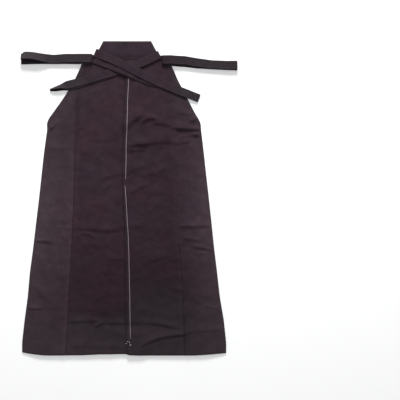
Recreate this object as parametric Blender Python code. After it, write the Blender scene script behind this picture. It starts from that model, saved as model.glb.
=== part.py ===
"""Hakama trousers laid flat, back side up, with the back ties crossed and the front ties folded.

Every table is in millimetres. +X runs to the wearer's right, +Y from the hem to the waist and +Z up
from the surface that the garment lies on. The origin is under the middle of the whole outline.
"""

import math

import bpy
import numpy as np

MM = 0.001

# Cloth and the air between layers that touch.
CLOTH = 1.2
TIE = 1.8
GAP = 0.35
SEAM = 0.3
PITCH = CLOTH + GAP
NOSE = 1.0

# Levels of the flat stack: three layers at each front pleat, and the back's underside over them.
FRONT_TOP = 2 * PITCH + CLOTH
SIDE_LEVEL = PITCH
BODY_LEVEL = FRONT_TOP + GAP
WAIST_LEVEL = BODY_LEVEL + 0.15
SIDE_ROLL = 70.0
WAIST_RISE = (405.0, 445.0)

# Centre back: the right width's fold lies over the left width.
RETURN_WIDTH = 42.0
UNDERLAP = 30.0
OVERLAP_STEPS = (10.0, 20.0)
OVERLAP_FADE = (42.0, 80.0)
OVERLAP_REST = 60.0
UNDER_STEPS = (-24.0, -8.0)
ROW_STEP = 27.0

# Crotch gusset, a square folded flat on its diagonal.
GUSSET_CENTRE = (-16.0, -110.0)
GUSSET_HALF = (55.0, 80.0)
GUSSET_MARGIN = 1.15
GUSSET_BLUNT = 1.04

# Back board: a stiff trapezoid that leans from the surface up onto the waistband.
BOARD_TOP_Y, BOARD_BASE_Y = 534.3, 468.9
BOARD_CENTRE_X = -7.3
BOARD_TOP_HALF, BOARD_BASE_HALF = 81.5, 115.7
BOARD_THICK = 3.6
BOARD_FOOT = 24.0
BOARD_FOOT_EASE = 0.7
BOARD_TILT = 0.073
BOARD_CROWN = 0.6
BOARD_EDGE_SHARE = 0.7

# Front waistband, and the widths and layers of the ties.
BAND_ENDS = (-160.7, 141.0)
BAND_LOWER_Y = (456.0, 451.0)
BAND_UPPER_Y = (488.0, 485.0)
TIE_WIDTH = 28.0
TIE_LAYERS = 8
GROOVE = 1.1
CRUSH = 0.65
LAY_STEP = 18.0
LAY_MARGIN = (2.0, 6.0)
COVER_MARGIN = 2.0
FOLD_MARGIN = 5.0

DARK_COTTON = (0.046, 0.029, 0.036)
SIDE_COTTON = (0.056, 0.037, 0.045)
BOARD_COTTON = (0.050, 0.032, 0.039)
TIE_COTTON = (0.060, 0.042, 0.050)


def table(names, rows):
    """Rows of numbers as a dictionary of named columns."""
    return dict(zip(names.split(), np.array(rows, float).T))


# The back seen from above, a row for each section from waist to hem. "top" and "hem" say how far
# the section follows the shaped top edge and the bowed hem.
OUTLINE = table("y left left_seam fold right_seam right top hem", [
    (468.5, -162.7, -147.4, -11.4, 132.0, 143.3, 1.0, 0.0),
    (448.0, -167.8, -155.9, -12.0, 135.0, 150.2, 0.6, 0.0),
    (424.0, -177.5, -163.5, -12.4, 138.2, 157.5, 0.25, 0.0),
    (398.0, -188.2, -170.0, -13.1, 139.9, 166.8, 0.0, 0.0),
    (344.0, -221.2, -179.7, -14.8, 141.6, 195.0, 0.0, 0.0),
    (292.0, -258.2, -181.9, -16.8, 143.4, 221.5, 0.0, 0.0),
    (270.0, -274.6, -183.0, -17.5, 145.2, 235.4, 0.0, 0.0),
    (253.0, -280.7, -183.6, -18.2, 147.6, 243.3, 0.0, 0.0),
    (236.0, -278.3, -184.2, -18.5, 150.0, 243.3, 0.0, 0.0),
    (210.0, -282.4, -185.2, -19.2, 153.0, 246.7, 0.0, 0.0),
    (155.0, -289.9, -186.4, -20.8, 158.4, 253.1, 0.0, 0.0),
    (74.0, -298.7, -187.9, -21.9, 161.3, 262.0, 0.0, 0.0),
    (-7.0, -307.5, -189.5, -19.6, 163.4, 271.2, 0.0, 0.0),
    (-89.0, -317.4, -192.7, -15.8, 165.6, 280.0, 0.0, 0.0),
    (-171.0, -326.9, -196.4, -12.8, 173.4, 288.5, 0.0, 0.0),
    (-252.0, -337.8, -201.3, -12.1, 180.6, 298.4, 0.0, 0.0),
    (-334.0, -344.9, -206.4, -11.0, 184.6, 307.5, 0.0, 0.0),
    (-415.0, -355.8, -209.6, -10.4, 188.0, 321.1, 0.0, 0.1),
    (-497.0, -364.3, -215.6, -8.3, 190.2, 329.3, 0.0, 0.7),
    (-533.8, -364.0, -217.2, -6.0, 190.6, 329.0, 0.0, 1.0),
])

# How far the top edge drops towards its corners, and how far the hem rises from its lowest line.
TOP_EDGE = table("x drop", [
    (-162.7, 15.5), (-120.0, 0.0), (111.0, 0.0), (143.3, 20.5),
])
HEM_EDGE = table("x rise", [
    (-365.0, 10.5), (-345.0, 6.8), (-324.0, 3.7), (-290.0, 0.5), (-270.0, 0.0), (-161.0, 1.0),
    (-100.0, 4.0), (-12.0, 5.0), (0.0, 1.5), (36.0, 0.0), (223.0, 0.0), (281.0, 3.7), (330.0, 8.0),
])

# The largest folds of the back, as soft ridges between two ends.
FOLDS = table("x0 y0 x1 y1 half_width height", [
    (-10.0, 240.0, 22.0, 268.0, 16.0, 4.0),
    (22.0, 268.0, 60.0, 290.0, 16.0, 3.6),
    (42.0, 254.0, 66.0, 270.0, 15.0, 4.4),
    (66.0, 270.0, 98.0, 268.0, 15.0, 4.0),
    (148.0, 241.0, 240.0, 237.0, 15.0, 5.6),
    (0.0, 180.0, 140.0, 194.0, 15.0, 3.8),
    (168.0, 205.0, 238.0, 216.0, 15.0, 2.2),
    (-134.0, 203.0, -70.0, 203.0, 15.0, 2.0),
    (-96.0, 68.0, -12.0, 86.0, 15.0, 2.4),
    (4.0, 20.0, 66.0, 48.0, 15.0, 2.6),
    (-186.0, -98.0, -62.0, -114.0, 16.0, 2.6),
    (-164.0, -122.0, -118.0, -146.0, 16.0, 2.6),
    (-320.0, -146.0, -262.0, -146.0, 15.0, 2.4),
    (166.0, -94.0, 262.0, -93.0, 15.0, 2.8),
    (206.0, -176.0, 280.0, -180.0, 15.0, 3.0),
    (62.0, -204.0, 108.0, -212.0, 15.0, 1.8),
    (-206.0, -424.0, -12.0, -424.0, 16.0, 2.6),
    (8.0, -421.0, 180.0, -438.0, 16.0, 2.6),
    (48.0, -494.0, 186.0, -464.0, 16.0, 4.0),
    (186.0, -464.0, 296.0, -446.0, 15.0, 3.0),
])
SWELL_HEIGHT = 0.9
SWELL_WAVE = (47.0, 83.0)
FOLD_FADE = 34.0

# Knife pleats of the front: where each fold edge lies at the waist and at the hem, and its depth.
PLEATS = table("side waist hem waist_depth hem_depth", [
    (1, 46.0, 163.0, 17.0, 62.0),
    (1, 18.0, 73.0, 17.0, 62.0),
    (1, -10.0, -17.0, 17.0, 62.0),
    (-1, -66.0, -197.0, 17.0, 62.0),
    (-1, -38.0, -107.0, 17.0, 62.0),
])
# Where a pleat's top layer passes its fold edge, where it lands, and the joint at the centre.
PLEAT_STEPS = table("lip foot end rise_top rise_foot", [
    (2.5, 7.5, 8.0, 4.0, 9.5),
    (5.0, 19.0, 12.0, 8.0, 24.0),
])
CENTRE_PLEAT = 2
FRONT_INSET = 3.0
FRONT_WAIST_Y = 455.6
FRONT_HEM_LIFT = 1.5

# Front ties, folded to and fro: sections from the inner end to the outer end.
FRONT_TIE_LEFT = table("x y width height", [
    (-127.5, 472.8, 28.0, 9.6),
    (-130.5, 472.8, 32.0, 11.6),
    (-160.6, 472.4, 33.0, 12.6),
    (-166.0, 472.4, 33.0, 13.2),
    (-215.0, 472.6, 32.5, 13.0),
    (-254.0, 471.0, 30.0, 10.5),
    (-300.0, 473.3, 33.5, 13.0),
    (-336.0, 475.2, 38.5, 15.5),
    (-354.0, 475.2, 40.0, 16.5),
    (-362.0, 474.2, 37.5, 15.0),
    (-367.0, 471.6, 28.0, 12.0),
])
FRONT_TIE_RIGHT = table("x y width height", [
    (112.8, 467.6, 28.0, 9.6),
    (115.8, 467.6, 33.0, 11.6),
    (141.0, 467.0, 36.0, 12.8),
    (146.5, 466.8, 36.0, 13.4),
    (190.0, 463.8, 36.0, 13.0),
    (230.0, 457.6, 34.0, 12.0),
    (280.0, 452.8, 28.5, 11.0),
    (330.0, 450.8, 29.5, 12.5),
    (363.0, 450.4, 32.5, 13.0),
    (367.3, 450.4, 27.0, 10.0),
])

# Back ties in plan. Each runs out from the board's side edge, turns back over the board, crosses
# the back and is folded in half at its far end.
LEFT_ROOT = table("x y", [(-112.8, 490.0), (-114.2, 490.7)])
LEFT_UPPER = table("x y", [
    (-114.3, 493.0), (-65.4, 474.0), (1.5, 441.7), (28.2, 428.3), (83.0, 400.5), (160.0, 368.5),
    (235.0, 340.0),
])
LEFT_UNDER = table("x y", [
    (-119.0, 471.8), (-64.0, 451.0), (-6.7, 427.7), (29.4, 412.7), (78.0, 393.4), (110.0, 387.8),
    (235.0, 340.0),
])
RIGHT_ROOT = table("x y", [(100.0, 486.4), (101.3, 487.1)])
RIGHT_UPPER = table("x y", [
    (101.0, 486.0), (35.2, 456.0), (-20.0, 440.9), (-62.0, 425.2), (-103.5, 413.9), (-160.0, 396.8),
    (-214.0, 383.4),
])
RIGHT_UNDER = table("x y", [
    (101.0, 486.0), (35.2, 456.0), (-20.0, 439.0), (-62.0, 420.8), (-103.5, 408.6), (-160.0, 391.2),
    (-212.0, 379.0),
])
RIGHT_UNDER_START = 1
TIP_LIFT = 1.0
ROOT_BULGE = 2.2
END_BULGE = 1.6
TURN_ANGLES = (-58.0, 0.0, 58.0)

# The far end of the right tie is twisted: its width closes as its upper layer rolls up on one edge.
TIP_UPPER = table("x y half_width roll", [
    (-228.0, 381.0, 9.5, 34.0),
    (-242.6, 377.2, 7.8, 46.0),
    (-256.0, 373.4, 6.2, 50.0),
    (-268.5, 369.6, 4.0, 50.0),
])
TIP_UNDER = table("x y half_width roll", [
    (-228.0, 376.4, 10.0, 6.0),
    (-242.6, 372.6, 8.6, 8.0),
    (-256.0, 369.0, 6.6, 8.0),
    (-268.0, 366.8, 4.0, 8.0),
])


def material(name, colour, roughness):
    """Plain dyed cotton."""
    cloth = bpy.data.materials.new(name)
    cloth.use_nodes = True
    shader = cloth.node_tree.nodes["Principled BSDF"]
    shader.inputs["Base Color"].default_value = (*colour, 1.0)
    shader.inputs["Roughness"].default_value = roughness
    shader.inputs["Metallic"].default_value = 0.0
    return cloth


def add_body(name, points, faces, colour, roughness=0.9):
    """One closed body from points in millimetres."""
    mesh = bpy.data.meshes.new(name)
    mesh.from_pydata((points * MM).tolist(), [], faces)
    mesh.validate()
    mesh.update()
    mesh.materials.append(material(name + "_cotton", colour, roughness))
    body = bpy.data.objects.new(name, mesh)
    garment.objects.link(body)
    return body


def add_wall(name, outer, inner, colour):
    """A closed wall between two grids of points, triangulated alike on both faces.

    Each cell is cut from its low-x corner above to its high-x corner below, whichever way its
    columns run, so that layers folded over each other keep their gap.
    """
    rows, columns = outer.shape[:2]
    count = rows * columns
    faces = []
    for row in range(rows - 1):
        for column in range(columns - 1):
            a = row * columns + column
            b, c, d = a + 1, a + columns, a + columns + 1
            if outer[row, column, 0] < outer[row, column + 1, 0]:
                cell = [(a, c, d), (a, d, b)]
            else:
                cell = [(a, c, b), (b, c, d)]
            faces += cell
            faces += [tuple(count + corner for corner in face[::-1]) for face in cell]
    first = list(range(columns))
    last = [(rows - 1) * columns + column for column in range(columns)]
    right = [row * columns + columns - 1 for row in range(1, rows - 1)]
    left = [row * columns for row in range(1, rows - 1)]
    border = first + right + last[::-1] + left[::-1]
    for a, b in zip(border, border[1:] + border[:1]):
        faces += [(a, b, count + b), (a, count + b, count + a)]
    points = np.concatenate([outer.reshape(-1, 3), inner.reshape(-1, 3)])
    return add_body(name, points, faces, colour)


def add_loft(name, rings, colour):
    """A closed body through like rings, each end closed by a low cone."""
    stations, count = rings.shape[:2]
    faces = []
    for station in range(stations - 1):
        for k in range(count):
            a = station * count + k
            b = station * count + (k + 1) % count
            faces += [(a, b + count, b), (a, a + count, b + count)]
    start, end = stations * count, stations * count + 1
    last = (stations - 1) * count
    for k in range(count):
        faces.append((start, k, (k + 1) % count))
        faces.append((end, last + (k + 1) % count, last + k))
    points = np.concatenate([rings.reshape(-1, 3), rings[:1].mean(axis=1), rings[-1:].mean(axis=1)])
    return add_body(name, points, faces, colour)


def ease(u):
    """A smooth step from 0 to 1."""
    u = np.clip(u, 0.0, 1.0)
    return u * u * (3.0 - 2.0 * u)


def along(name, y):
    """A column of the outline at any height on the garment."""
    return np.interp(-np.asarray(y, float), -OUTLINE["y"], OUTLINE[name])


def fold_height(x, y):
    """Sum of the large folds: each a rounded ridge about the line between its two ends."""
    total = np.zeros(np.broadcast(x, y).shape)
    for x0, y0, x1, y1, half_width, height in zip(*FOLDS.values()):
        length = math.hypot(x1 - x0, y1 - y0)
        ux, uy = (x1 - x0) / length, (y1 - y0) / length
        run = np.clip((x - x0) * ux + (y - y0) * uy, 0.0, length)
        distance = np.hypot(x - x0 - run * ux, y - y0 - run * uy)
        total = np.maximum(total, height * np.exp(-(distance / half_width) ** 2))
    return total


def rest_level(x, y):
    """Underside of the back's lowest layer: low at the sewn sides, raised over what it covers."""
    side = np.minimum(x - along("left", y), along("right", y) - x)
    level = SIDE_LEVEL + (BODY_LEVEL - SIDE_LEVEL) * ease(side / SIDE_ROLL)
    waist = ease((y - WAIST_RISE[0]) / (WAIST_RISE[1] - WAIST_RISE[0]))
    level = level + (WAIST_LEVEL - level) * waist
    off_x = np.abs(x - GUSSET_CENTRE[0]) - GUSSET_HALF[0]
    off_y = np.abs(y - GUSSET_CENTRE[1]) - GUSSET_HALF[1]
    gusset = ease(GUSSET_MARGIN - off_x / SIDE_ROLL) * ease(GUSSET_MARGIN - off_y / SIDE_ROLL)
    swell = 0.5 + 0.5 * np.sin(x / SWELL_WAVE[0]) * np.sin(y / SWELL_WAVE[1])
    loose = ease(side / FOLD_FADE) * (1.0 - waist)
    return level + PITCH * gusset + loose * (fold_height(x, y) + SWELL_HEIGHT * swell)


def overlap(x, y):
    """How fully the right width is lifted by its own return and the left width beneath it."""
    start, stop = OVERLAP_FADE
    return 1.0 - ease((x - along("fold", y) - start) / (stop - start))


def back_rows():
    """Heights of the sections of the back: the outline's own, and more between them."""
    rows = [OUTLINE["y"][0]]
    for above, below in zip(OUTLINE["y"][:-1], OUTLINE["y"][1:]):
        parts = math.ceil((above - below) / ROW_STEP)
        rows += list(np.linspace(above, below, parts + 1)[1:])
    return np.array(rows)


def shaped_y(x, row):
    """Heights along one section, following the top edge or the hem where it is near them."""
    drop = np.interp(x, TOP_EDGE["x"], TOP_EDGE["drop"]) * along("top", row)
    rise = np.interp(x, HEM_EDGE["x"], HEM_EDGE["rise"]) * along("hem", row)
    return row - drop + rise


def back_width(name, columns, colour):
    """A single layer of the back between two of its lengthwise lines."""
    rows = back_rows()[:, None]
    x = columns(rows)
    y = shaped_y(x, rows)
    bottom = rest_level(x, y)
    inner = np.stack([x, y, bottom], axis=-1)
    outer = np.stack([x, y, bottom + CLOTH], axis=-1)
    return add_wall(name, outer, inner, colour)


def spread(start, stop, parts):
    """Columns shared out evenly between two lengthwise lines."""
    return start + (stop - start) * np.linspace(0.0, 1.0, parts + 1)[None, :]


def left_outer_columns(rows):
    """Columns of the left outer width, from the side to its seam."""
    return spread(along("left", rows), along("left_seam", rows) - SEAM / 2, 5)


def left_inner_columns(rows):
    """Columns of the left inner width, from its seam to its edge hidden under the fold."""
    fold = along("fold", rows)
    open_part = spread(along("left_seam", rows) + SEAM / 2, fold + UNDER_STEPS[0], 7)
    hidden = fold + np.array([[UNDER_STEPS[1], NOSE, *OVERLAP_STEPS, UNDERLAP]])
    return np.concatenate([open_part, hidden], axis=1)


def right_outer_columns(rows):
    """Columns of the right outer width, from its seam to the side."""
    return spread(along("right_seam", rows) + SEAM / 2, along("right", rows), 5)


def back_right_inner():
    """The right inner width: a return under the fold, and a face that runs out to the seam."""
    rows = back_rows()[:, None]
    fold = along("fold", rows)
    steps = np.array([[*OVERLAP_STEPS, UNDERLAP, RETURN_WIDTH]])
    face_x = np.concatenate([
        fold + steps,
        fold + OVERLAP_REST,
        spread(fold + OVERLAP_FADE[1], along("right_seam", rows) - SEAM / 2, 4),
    ], axis=1)
    return_x = (fold + steps)[:, ::-1]

    def layer(x, level):
        """Points so far above the level the back rests on."""
        y = shaped_y(x, rows)
        return np.stack([x, y, rest_level(x, y) + level], axis=-1)

    under = PITCH
    over = 2 * PITCH + CLOTH
    middle = (under + over) / 2
    lift = 2 * PITCH * overlap(face_x, rows)
    outer = np.concatenate([
        layer(return_x, under),
        layer(fold + NOSE, under),
        layer(fold, middle),
        layer(fold + NOSE, over),
        layer(face_x, lift + CLOTH),
    ], axis=1)
    inner = np.concatenate([
        layer(return_x, under + CLOTH),
        layer(fold + NOSE + CLOTH, under + CLOTH),
        layer(fold + CLOTH, middle),
        layer(fold + NOSE + CLOTH, over - CLOTH),
        layer(face_x, lift),
    ], axis=1)
    return add_wall("back_right_inner", outer, inner, DARK_COTTON)


def pleated_section(edge, folds, depths, steps, centre_end):
    """Both faces of a pleated width across one section, from its side edge to the centre.

    Distances run outwards from the middle of the garment. Each pleat turns back at its fold edge,
    turns again at its depth, passes over the fold edge and comes down to the surface. The last
    point of the right width stays up, and the left width climbs to meet it.
    """
    outer = [(edge, 0.0)]
    inner = [(edge, CLOTH)]
    for k, (fold, depth) in enumerate(zip(folds, depths)):
        back = fold + depth
        half_turn = (PITCH + CLOTH) / 2
        outer += [(fold + NOSE, 0.0), (fold, half_turn), (fold + NOSE, PITCH + CLOTH)]
        inner += [(fold + NOSE + CLOTH, CLOTH), (fold + CLOTH, half_turn), (fold + NOSE + CLOTH, PITCH)]
        outer += [(back - NOSE - CLOTH, PITCH + CLOTH), (back - CLOTH, PITCH + half_turn)]
        outer += [(back - NOSE - CLOTH, 2 * PITCH)]
        inner += [(back - NOSE, PITCH), (back, PITCH + half_turn), (back - NOSE, FRONT_TOP)]
        if centre_end is None and k == len(folds) - 1:
            outer += [(fold - steps["end"], 2 * PITCH)]
            inner += [(fold - steps["end"], FRONT_TOP)]
        else:
            outer += [(fold - steps["lip"], 2 * PITCH), (fold - steps["foot"], 0.0)]
            inner += [(fold - steps["lip"], FRONT_TOP), (fold - steps["foot"], CLOTH)]
    if centre_end is not None:
        foot, top = centre_end + steps["rise_foot"], centre_end + steps["rise_top"]
        outer += [(foot, 0.0), (top, 2 * PITCH), (centre_end, 2 * PITCH)]
        inner += [(foot, CLOTH), (top, FRONT_TOP), (centre_end, FRONT_TOP)]
    return np.array(outer), np.array(inner)


def front_width(name, side, colour):
    """One leg's pleated front width, face down on the surface."""
    mine = PLEATS["side"] == side
    rows = [FRONT_WAIST_Y] + [y for y in OUTLINE["y"] if y < FRONT_WAIST_Y]
    grids = [], []
    for row in rows:
        share = (FRONT_WAIST_Y - row) / (FRONT_WAIST_Y - rows[-1])
        folds = PLEATS["waist"] + share * (PLEATS["hem"] - PLEATS["waist"])
        depths = PLEATS["waist_depth"] + share * (PLEATS["hem_depth"] - PLEATS["waist_depth"])
        steps = {key: np.interp(share, (0.0, 1.0), ends) for key, ends in PLEAT_STEPS.items()}
        edge = along("right" if side > 0 else "left", row) * side - FRONT_INSET
        centre_end = None
        if side < 0:
            centre_end = steps["end"] - folds[CENTRE_PLEAT] + SEAM
        faces = pleated_section(edge, folds[mine] * side, depths[mine], steps, centre_end)
        for grid, face in zip(grids, faces):
            x = face[:, 0] * side
            y = shaped_y(x, row)
            if row == rows[0]:
                y = row - (BAND_LOWER_Y[0] - BAND_LOWER_Y[1]) * band_share(x)
            if row == rows[-1]:
                y = y + FRONT_HEM_LIFT
            grid.append(np.stack([x, y, face[:, 1]], axis=-1))
    down, up = np.array(grids[0]), np.array(grids[1])
    first, second = (down, up) if side > 0 else (up, down)
    return add_wall(name, first, second, colour)


def band_share(x):
    """Place along the waistband, 0 at its left end and 1 at its right end."""
    return (x - BAND_ENDS[0]) / (BAND_ENDS[1] - BAND_ENDS[0])


def band_grid(share, across, height):
    """Points of the waistband from shares along and across it."""
    x = BAND_ENDS[0] + share * (BAND_ENDS[1] - BAND_ENDS[0])
    lower = BAND_LOWER_Y[0] + share * (BAND_LOWER_Y[1] - BAND_LOWER_Y[0])
    upper = BAND_UPPER_Y[0] + share * (BAND_UPPER_Y[1] - BAND_UPPER_Y[0])
    return np.stack([x, upper + across * (lower - upper), height + 0 * x], axis=-1)


def front_waistband():
    """The bound top edge of the front: thick where the pleats end in it, thin at its free edge."""
    profile = table("across height", [(0.0, 2.0), (0.08, 2.9), (0.5, 3.6), (0.92, 4.2), (1.0, 3.2)])
    share = np.linspace(0.0, 1.0, 7)[None, :] + 0 * profile["across"][:, None]
    across = profile["across"][:, None] + 0 * share
    top = band_grid(share, across, profile["height"][:, None])
    bottom = band_grid(share, across, 0.0)
    return add_wall("front_waistband", top, bottom, TIE_COTTON)


def crotch_gusset():
    """The folded gusset: a flat diamond between the front and the back."""
    reach = np.linspace(-1.0, 1.0, 5)[:, None]
    half = GUSSET_HALF[0] * (GUSSET_BLUNT - np.abs(reach))
    x = GUSSET_CENTRE[0] + half * np.linspace(-1.0, 1.0, 3)[None, :]
    y = GUSSET_CENTRE[1] - GUSSET_HALF[1] * reach + 0 * x
    bottom = np.stack([x, y, BODY_LEVEL + 0 * x], axis=-1)
    return add_wall("crotch_gusset", bottom + (0, 0, CLOTH), bottom, DARK_COTTON)


def board_floor(y):
    """Underside of the board, which leans up from its top edge."""
    return BOARD_TILT * (BOARD_TOP_Y - y)


def board_half(y):
    """Half the board's width at any height."""
    share = (BOARD_TOP_Y - y) / (BOARD_TOP_Y - BOARD_BASE_Y)
    return BOARD_TOP_HALF + share * (BOARD_BASE_HALF - BOARD_TOP_HALF)


def board_thickness(y):
    """Thickness of the board at any height, eased down towards its base."""
    foot = ease((BOARD_BASE_Y + BOARD_FOOT - y) / BOARD_FOOT)
    return BOARD_THICK * (1.0 - BOARD_FOOT_EASE * foot)


def back_board():
    """The cloth-covered board: a crowned trapezoid with eased edges."""
    down = np.array([0.0, 0.05, 0.35, 0.65, 0.8, 0.9, 1.0])[:, None]
    across = np.array([-1.0, -0.96, -0.5, 0.0, 0.5, 0.96, 1.0])[None, :]
    y = BOARD_TOP_Y + down * (BOARD_BASE_Y - BOARD_TOP_Y) + 0 * across
    x = BOARD_CENTRE_X + across * board_half(y)
    border = (np.abs(across) == 1.0) | (down == 0.0) | (down == 1.0)
    crown = BOARD_CROWN * (1 - across ** 2) * (1 - (2 * down - 1) ** 2)
    bottom = np.stack([x, y, board_floor(y)], axis=-1)
    top = bottom.copy()
    top[..., 2] += board_thickness(y) * np.where(border, BOARD_EDGE_SHARE, 1.0) + crown
    return add_wall("back_board", top, bottom, BOARD_COTTON)


def layered_ring(width, bottom, height):
    """Half-widths and heights round a folded tie: flat above and below, a groove between layers."""
    steps = np.arange(2 * TIE_LAYERS + 1)
    z = bottom + height * steps / (2 * TIE_LAYERS)
    half = width / 2 - GROOVE * (steps % 2 == 0)
    return np.concatenate([half, -half[::-1]]), np.concatenate([z, z[::-1]])


def front_tie(name, sections):
    """A folded front tie: its hidden layers are one body, and its inner end lies on the waist."""
    rings = []
    for x, y, width, height in zip(*sections.values()):
        on_waist = BAND_ENDS[0] - SEAM < x < BAND_ENDS[1] + SEAM
        bottom = WAIST_LEVEL + CLOTH + GAP if on_waist else 0.0
        half, z = layered_ring(width, bottom, height - CRUSH * bottom)
        rings.append(np.stack([x + 0 * half, y + half, z], axis=-1))
    if sections["x"][0] > 0:
        rings = rings[::-1]
    return add_loft(name, np.array(rings), TIE_COTTON)


def back_top(x, y):
    """Upper face of the back, and zero beyond its outline."""
    top_edge = shaped_y(x, OUTLINE["y"][0])
    here = (x > along("left", y) - COVER_MARGIN) & (x < along("right", y) + COVER_MARGIN)
    here = here & (y < top_edge + COVER_MARGIN)
    raised = 2 * PITCH * overlap(x, y) * (x > along("fold", y) - FOLD_MARGIN)
    return np.where(here, rest_level(x, y) + CLOTH + raised, 0.0)


def board_top(x, y):
    """Upper face of the board, and zero beyond it."""
    here = np.abs(x - BOARD_CENTRE_X) < board_half(y) + COVER_MARGIN
    here = here & (y < BOARD_TOP_Y) & (y > BOARD_BASE_Y - COVER_MARGIN)
    return np.where(here, board_floor(y) + board_thickness(y) + BOARD_CROWN, 0.0)


def band_top(x, y):
    """Upper face of the waistband, and zero beyond it."""
    share = band_share(x)
    lower = BAND_LOWER_Y[0] + share * (BAND_LOWER_Y[1] - BAND_LOWER_Y[0])
    upper = BAND_UPPER_Y[0] + share * (BAND_UPPER_Y[1] - BAND_UPPER_Y[0])
    here = (x > BAND_ENDS[0] - COVER_MARGIN) & (x < BAND_ENDS[1] + COVER_MARGIN)
    here = here & (y > lower - COVER_MARGIN) & (y < upper + COVER_MARGIN)
    return np.where(here, FRONT_TOP, 0.0)


def resample(route):
    """A route in plan, rounded through its points and stepped evenly."""
    plan = np.stack([route["x"], route["y"]], axis=-1)
    reach = np.concatenate([[0.0], np.cumsum(np.hypot(*np.diff(plan, axis=0).T))])
    steps = np.linspace(0.0, reach[-1], max(2, round(reach[-1] / LAY_STEP) + 1))
    return np.stack([np.interp(steps, reach, plan[:, axis]) for axis in (0, 1)], axis=-1)


def across_of(plan):
    """Unit directions across a route, to the left of its heading."""
    heading = np.gradient(plan, axis=0)
    heading /= np.linalg.norm(heading, axis=1)[:, None]
    return np.stack([-heading[:, 1], heading[:, 0]], axis=-1)


def lay(plan, covers):
    """Underside heights of a tie laid over what is beneath it, held clear by the usual gap."""
    across = across_of(plan)
    heading = np.stack([across[:, 1], -across[:, 0]], axis=-1)
    heights = np.zeros(len(plan))
    for run in np.linspace(-1.0, 1.0, 7) * (LAY_STEP + LAY_MARGIN[0]):
        for offset in np.linspace(-1.0, 1.0, 9) * (TIE_WIDTH / 2 + LAY_MARGIN[1]):
            spots = plan + run * heading + offset * across
            for cover in covers:
                tops = cover(spots[:, 0], spots[:, 1])
                heights = np.maximum(heights, np.where(tops > 0, tops + GAP, 0.0))
    return heights


def tie_cover(plan, tops):
    """The upper face of a tie laid earlier, as heights that are zero away from it."""
    def cover(x, y):
        """The tie's upper face at any place in plan."""
        best = np.zeros(x.shape)
        for start, stop, low, high in zip(plan[:-1], plan[1:], tops[:-1], tops[1:]):
            step = stop - start
            length = np.hypot(*step)
            run = ((x - start[0]) * step[0] + (y - start[1]) * step[1]) / length
            off = np.abs((x - start[0]) * step[1] - (y - start[1]) * step[0]) / length
            near = (run > -COVER_MARGIN) & (run < length + COVER_MARGIN)
            near = near & (off < TIE_WIDTH / 2 + COVER_MARGIN)
            share = np.clip(run / length, 0.0, 1.0)
            best = np.maximum(best, np.where(near, low + share * (high - low), 0.0))
        return best
    return cover


def turn(start, stop, bulge):
    """Points of a fold between two stacked layers, bulging by so much past their ends."""
    centre = (start + stop) / 2
    half = (stop - start) / 2
    angles = np.radians(TURN_ANGLES)
    return [centre + half * math.sin(angle) + bulge * math.cos(angle) for angle in angles]


def ribbon(name, spine, across, half_width, colour):
    """A flat band along a spine, its faces mitred at each bend and its width along "across".

    No corner of a bend dips below the surface that the garment lies on.
    """
    steps = np.diff(spine, axis=0)
    steps /= np.linalg.norm(steps, axis=1)[:, None]
    first = np.concatenate([steps[:1], steps])
    second = np.concatenate([steps, steps[-1:]])
    up_first, up_second = np.cross(first, across), np.cross(second, across)
    up_first /= np.linalg.norm(up_first, axis=1)[:, None]
    up_second /= np.linalg.norm(up_second, axis=1)[:, None]
    mean = up_first + up_second
    mean /= np.linalg.norm(mean, axis=1)[:, None]
    lean = np.sum(mean * up_first, axis=1)
    normal = mean / lean[:, None] * (TIE / 2)
    wide = across * half_width[:, None]
    outer = np.stack([spine + normal - wide, spine + normal + wide], axis=1)
    inner = np.stack([spine - normal - wide, spine - normal + wide], axis=1)
    for face in (outer, inner):
        face[..., 2] = np.maximum(face[..., 2], 0.0)
    return add_wall(name, outer, inner, colour)


def flat(directions):
    """Directions in plan as level directions in space."""
    return np.concatenate([directions, np.zeros((len(directions), 1))], axis=1)


def run_of(plan, underside, sense):
    """A laid stretch of tie: its spine, its directions across and its half widths."""
    spine = np.concatenate([plan, (underside + TIE / 2)[:, None]], axis=1)
    return spine, flat(across_of(plan)) * sense, np.full(len(plan), TIE_WIDTH / 2)


def tip_run(sections, lift):
    """A layer of the right tie's twisted end, held up by so much and rolled up on its far edge."""
    plan = np.stack([sections["x"], sections["y"]], axis=-1)
    roll = np.radians(sections["roll"])[:, None]
    across = -flat(across_of(plan)) * np.cos(roll) - np.array([[0.0, 0.0, 1.0]]) * np.sin(roll)
    half = sections["half_width"]
    height = lift + TIE / 2 * np.cos(roll[:, 0]) + half * np.sin(roll[:, 0])
    return np.concatenate([plan, height[:, None]], axis=1), across, half


def reverse(run):
    """The same stretch of tie taken from its other end."""
    return tuple(part[::-1] for part in run)


def chain(first, second):
    """Two stretches of tie end to end."""
    return tuple(np.concatenate(pair) for pair in zip(first, second))


def fold_between(first, second, bulge):
    """The fold that joins a stretch to the next layer, standing out from their ends."""
    outward = first[0][-1] - first[0][-2]
    outward = outward / np.linalg.norm(outward)
    spine = np.array(turn(first[0][-1], second[0][0], bulge * outward))
    across = first[1][-1] + second[1][0]
    across = across / np.linalg.norm(across)
    half = (first[2][-1] + second[2][0]) / 2
    return spine, np.repeat(across[None, :], len(spine), axis=0), np.full(len(spine), half)


def back_tie(name, root, upper, under):
    """A back tie: out from its root, over on itself, away, and back under itself."""
    band = chain(root, fold_between(root, upper, ROOT_BULGE))
    band = chain(band, upper)
    back = reverse(under)
    band = chain(band, fold_between(upper, back, END_BULGE))
    band = chain(band, back)
    ribbon(name, *band, TIE_COTTON)


def root_of(route):
    """The short stretch of a tie that leaves the board's side edge, lying on the waistband."""
    plan = np.stack([route["x"], route["y"]], axis=-1)
    return run_of(plan, np.full(len(plan), FRONT_TOP + GAP), 1)


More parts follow.
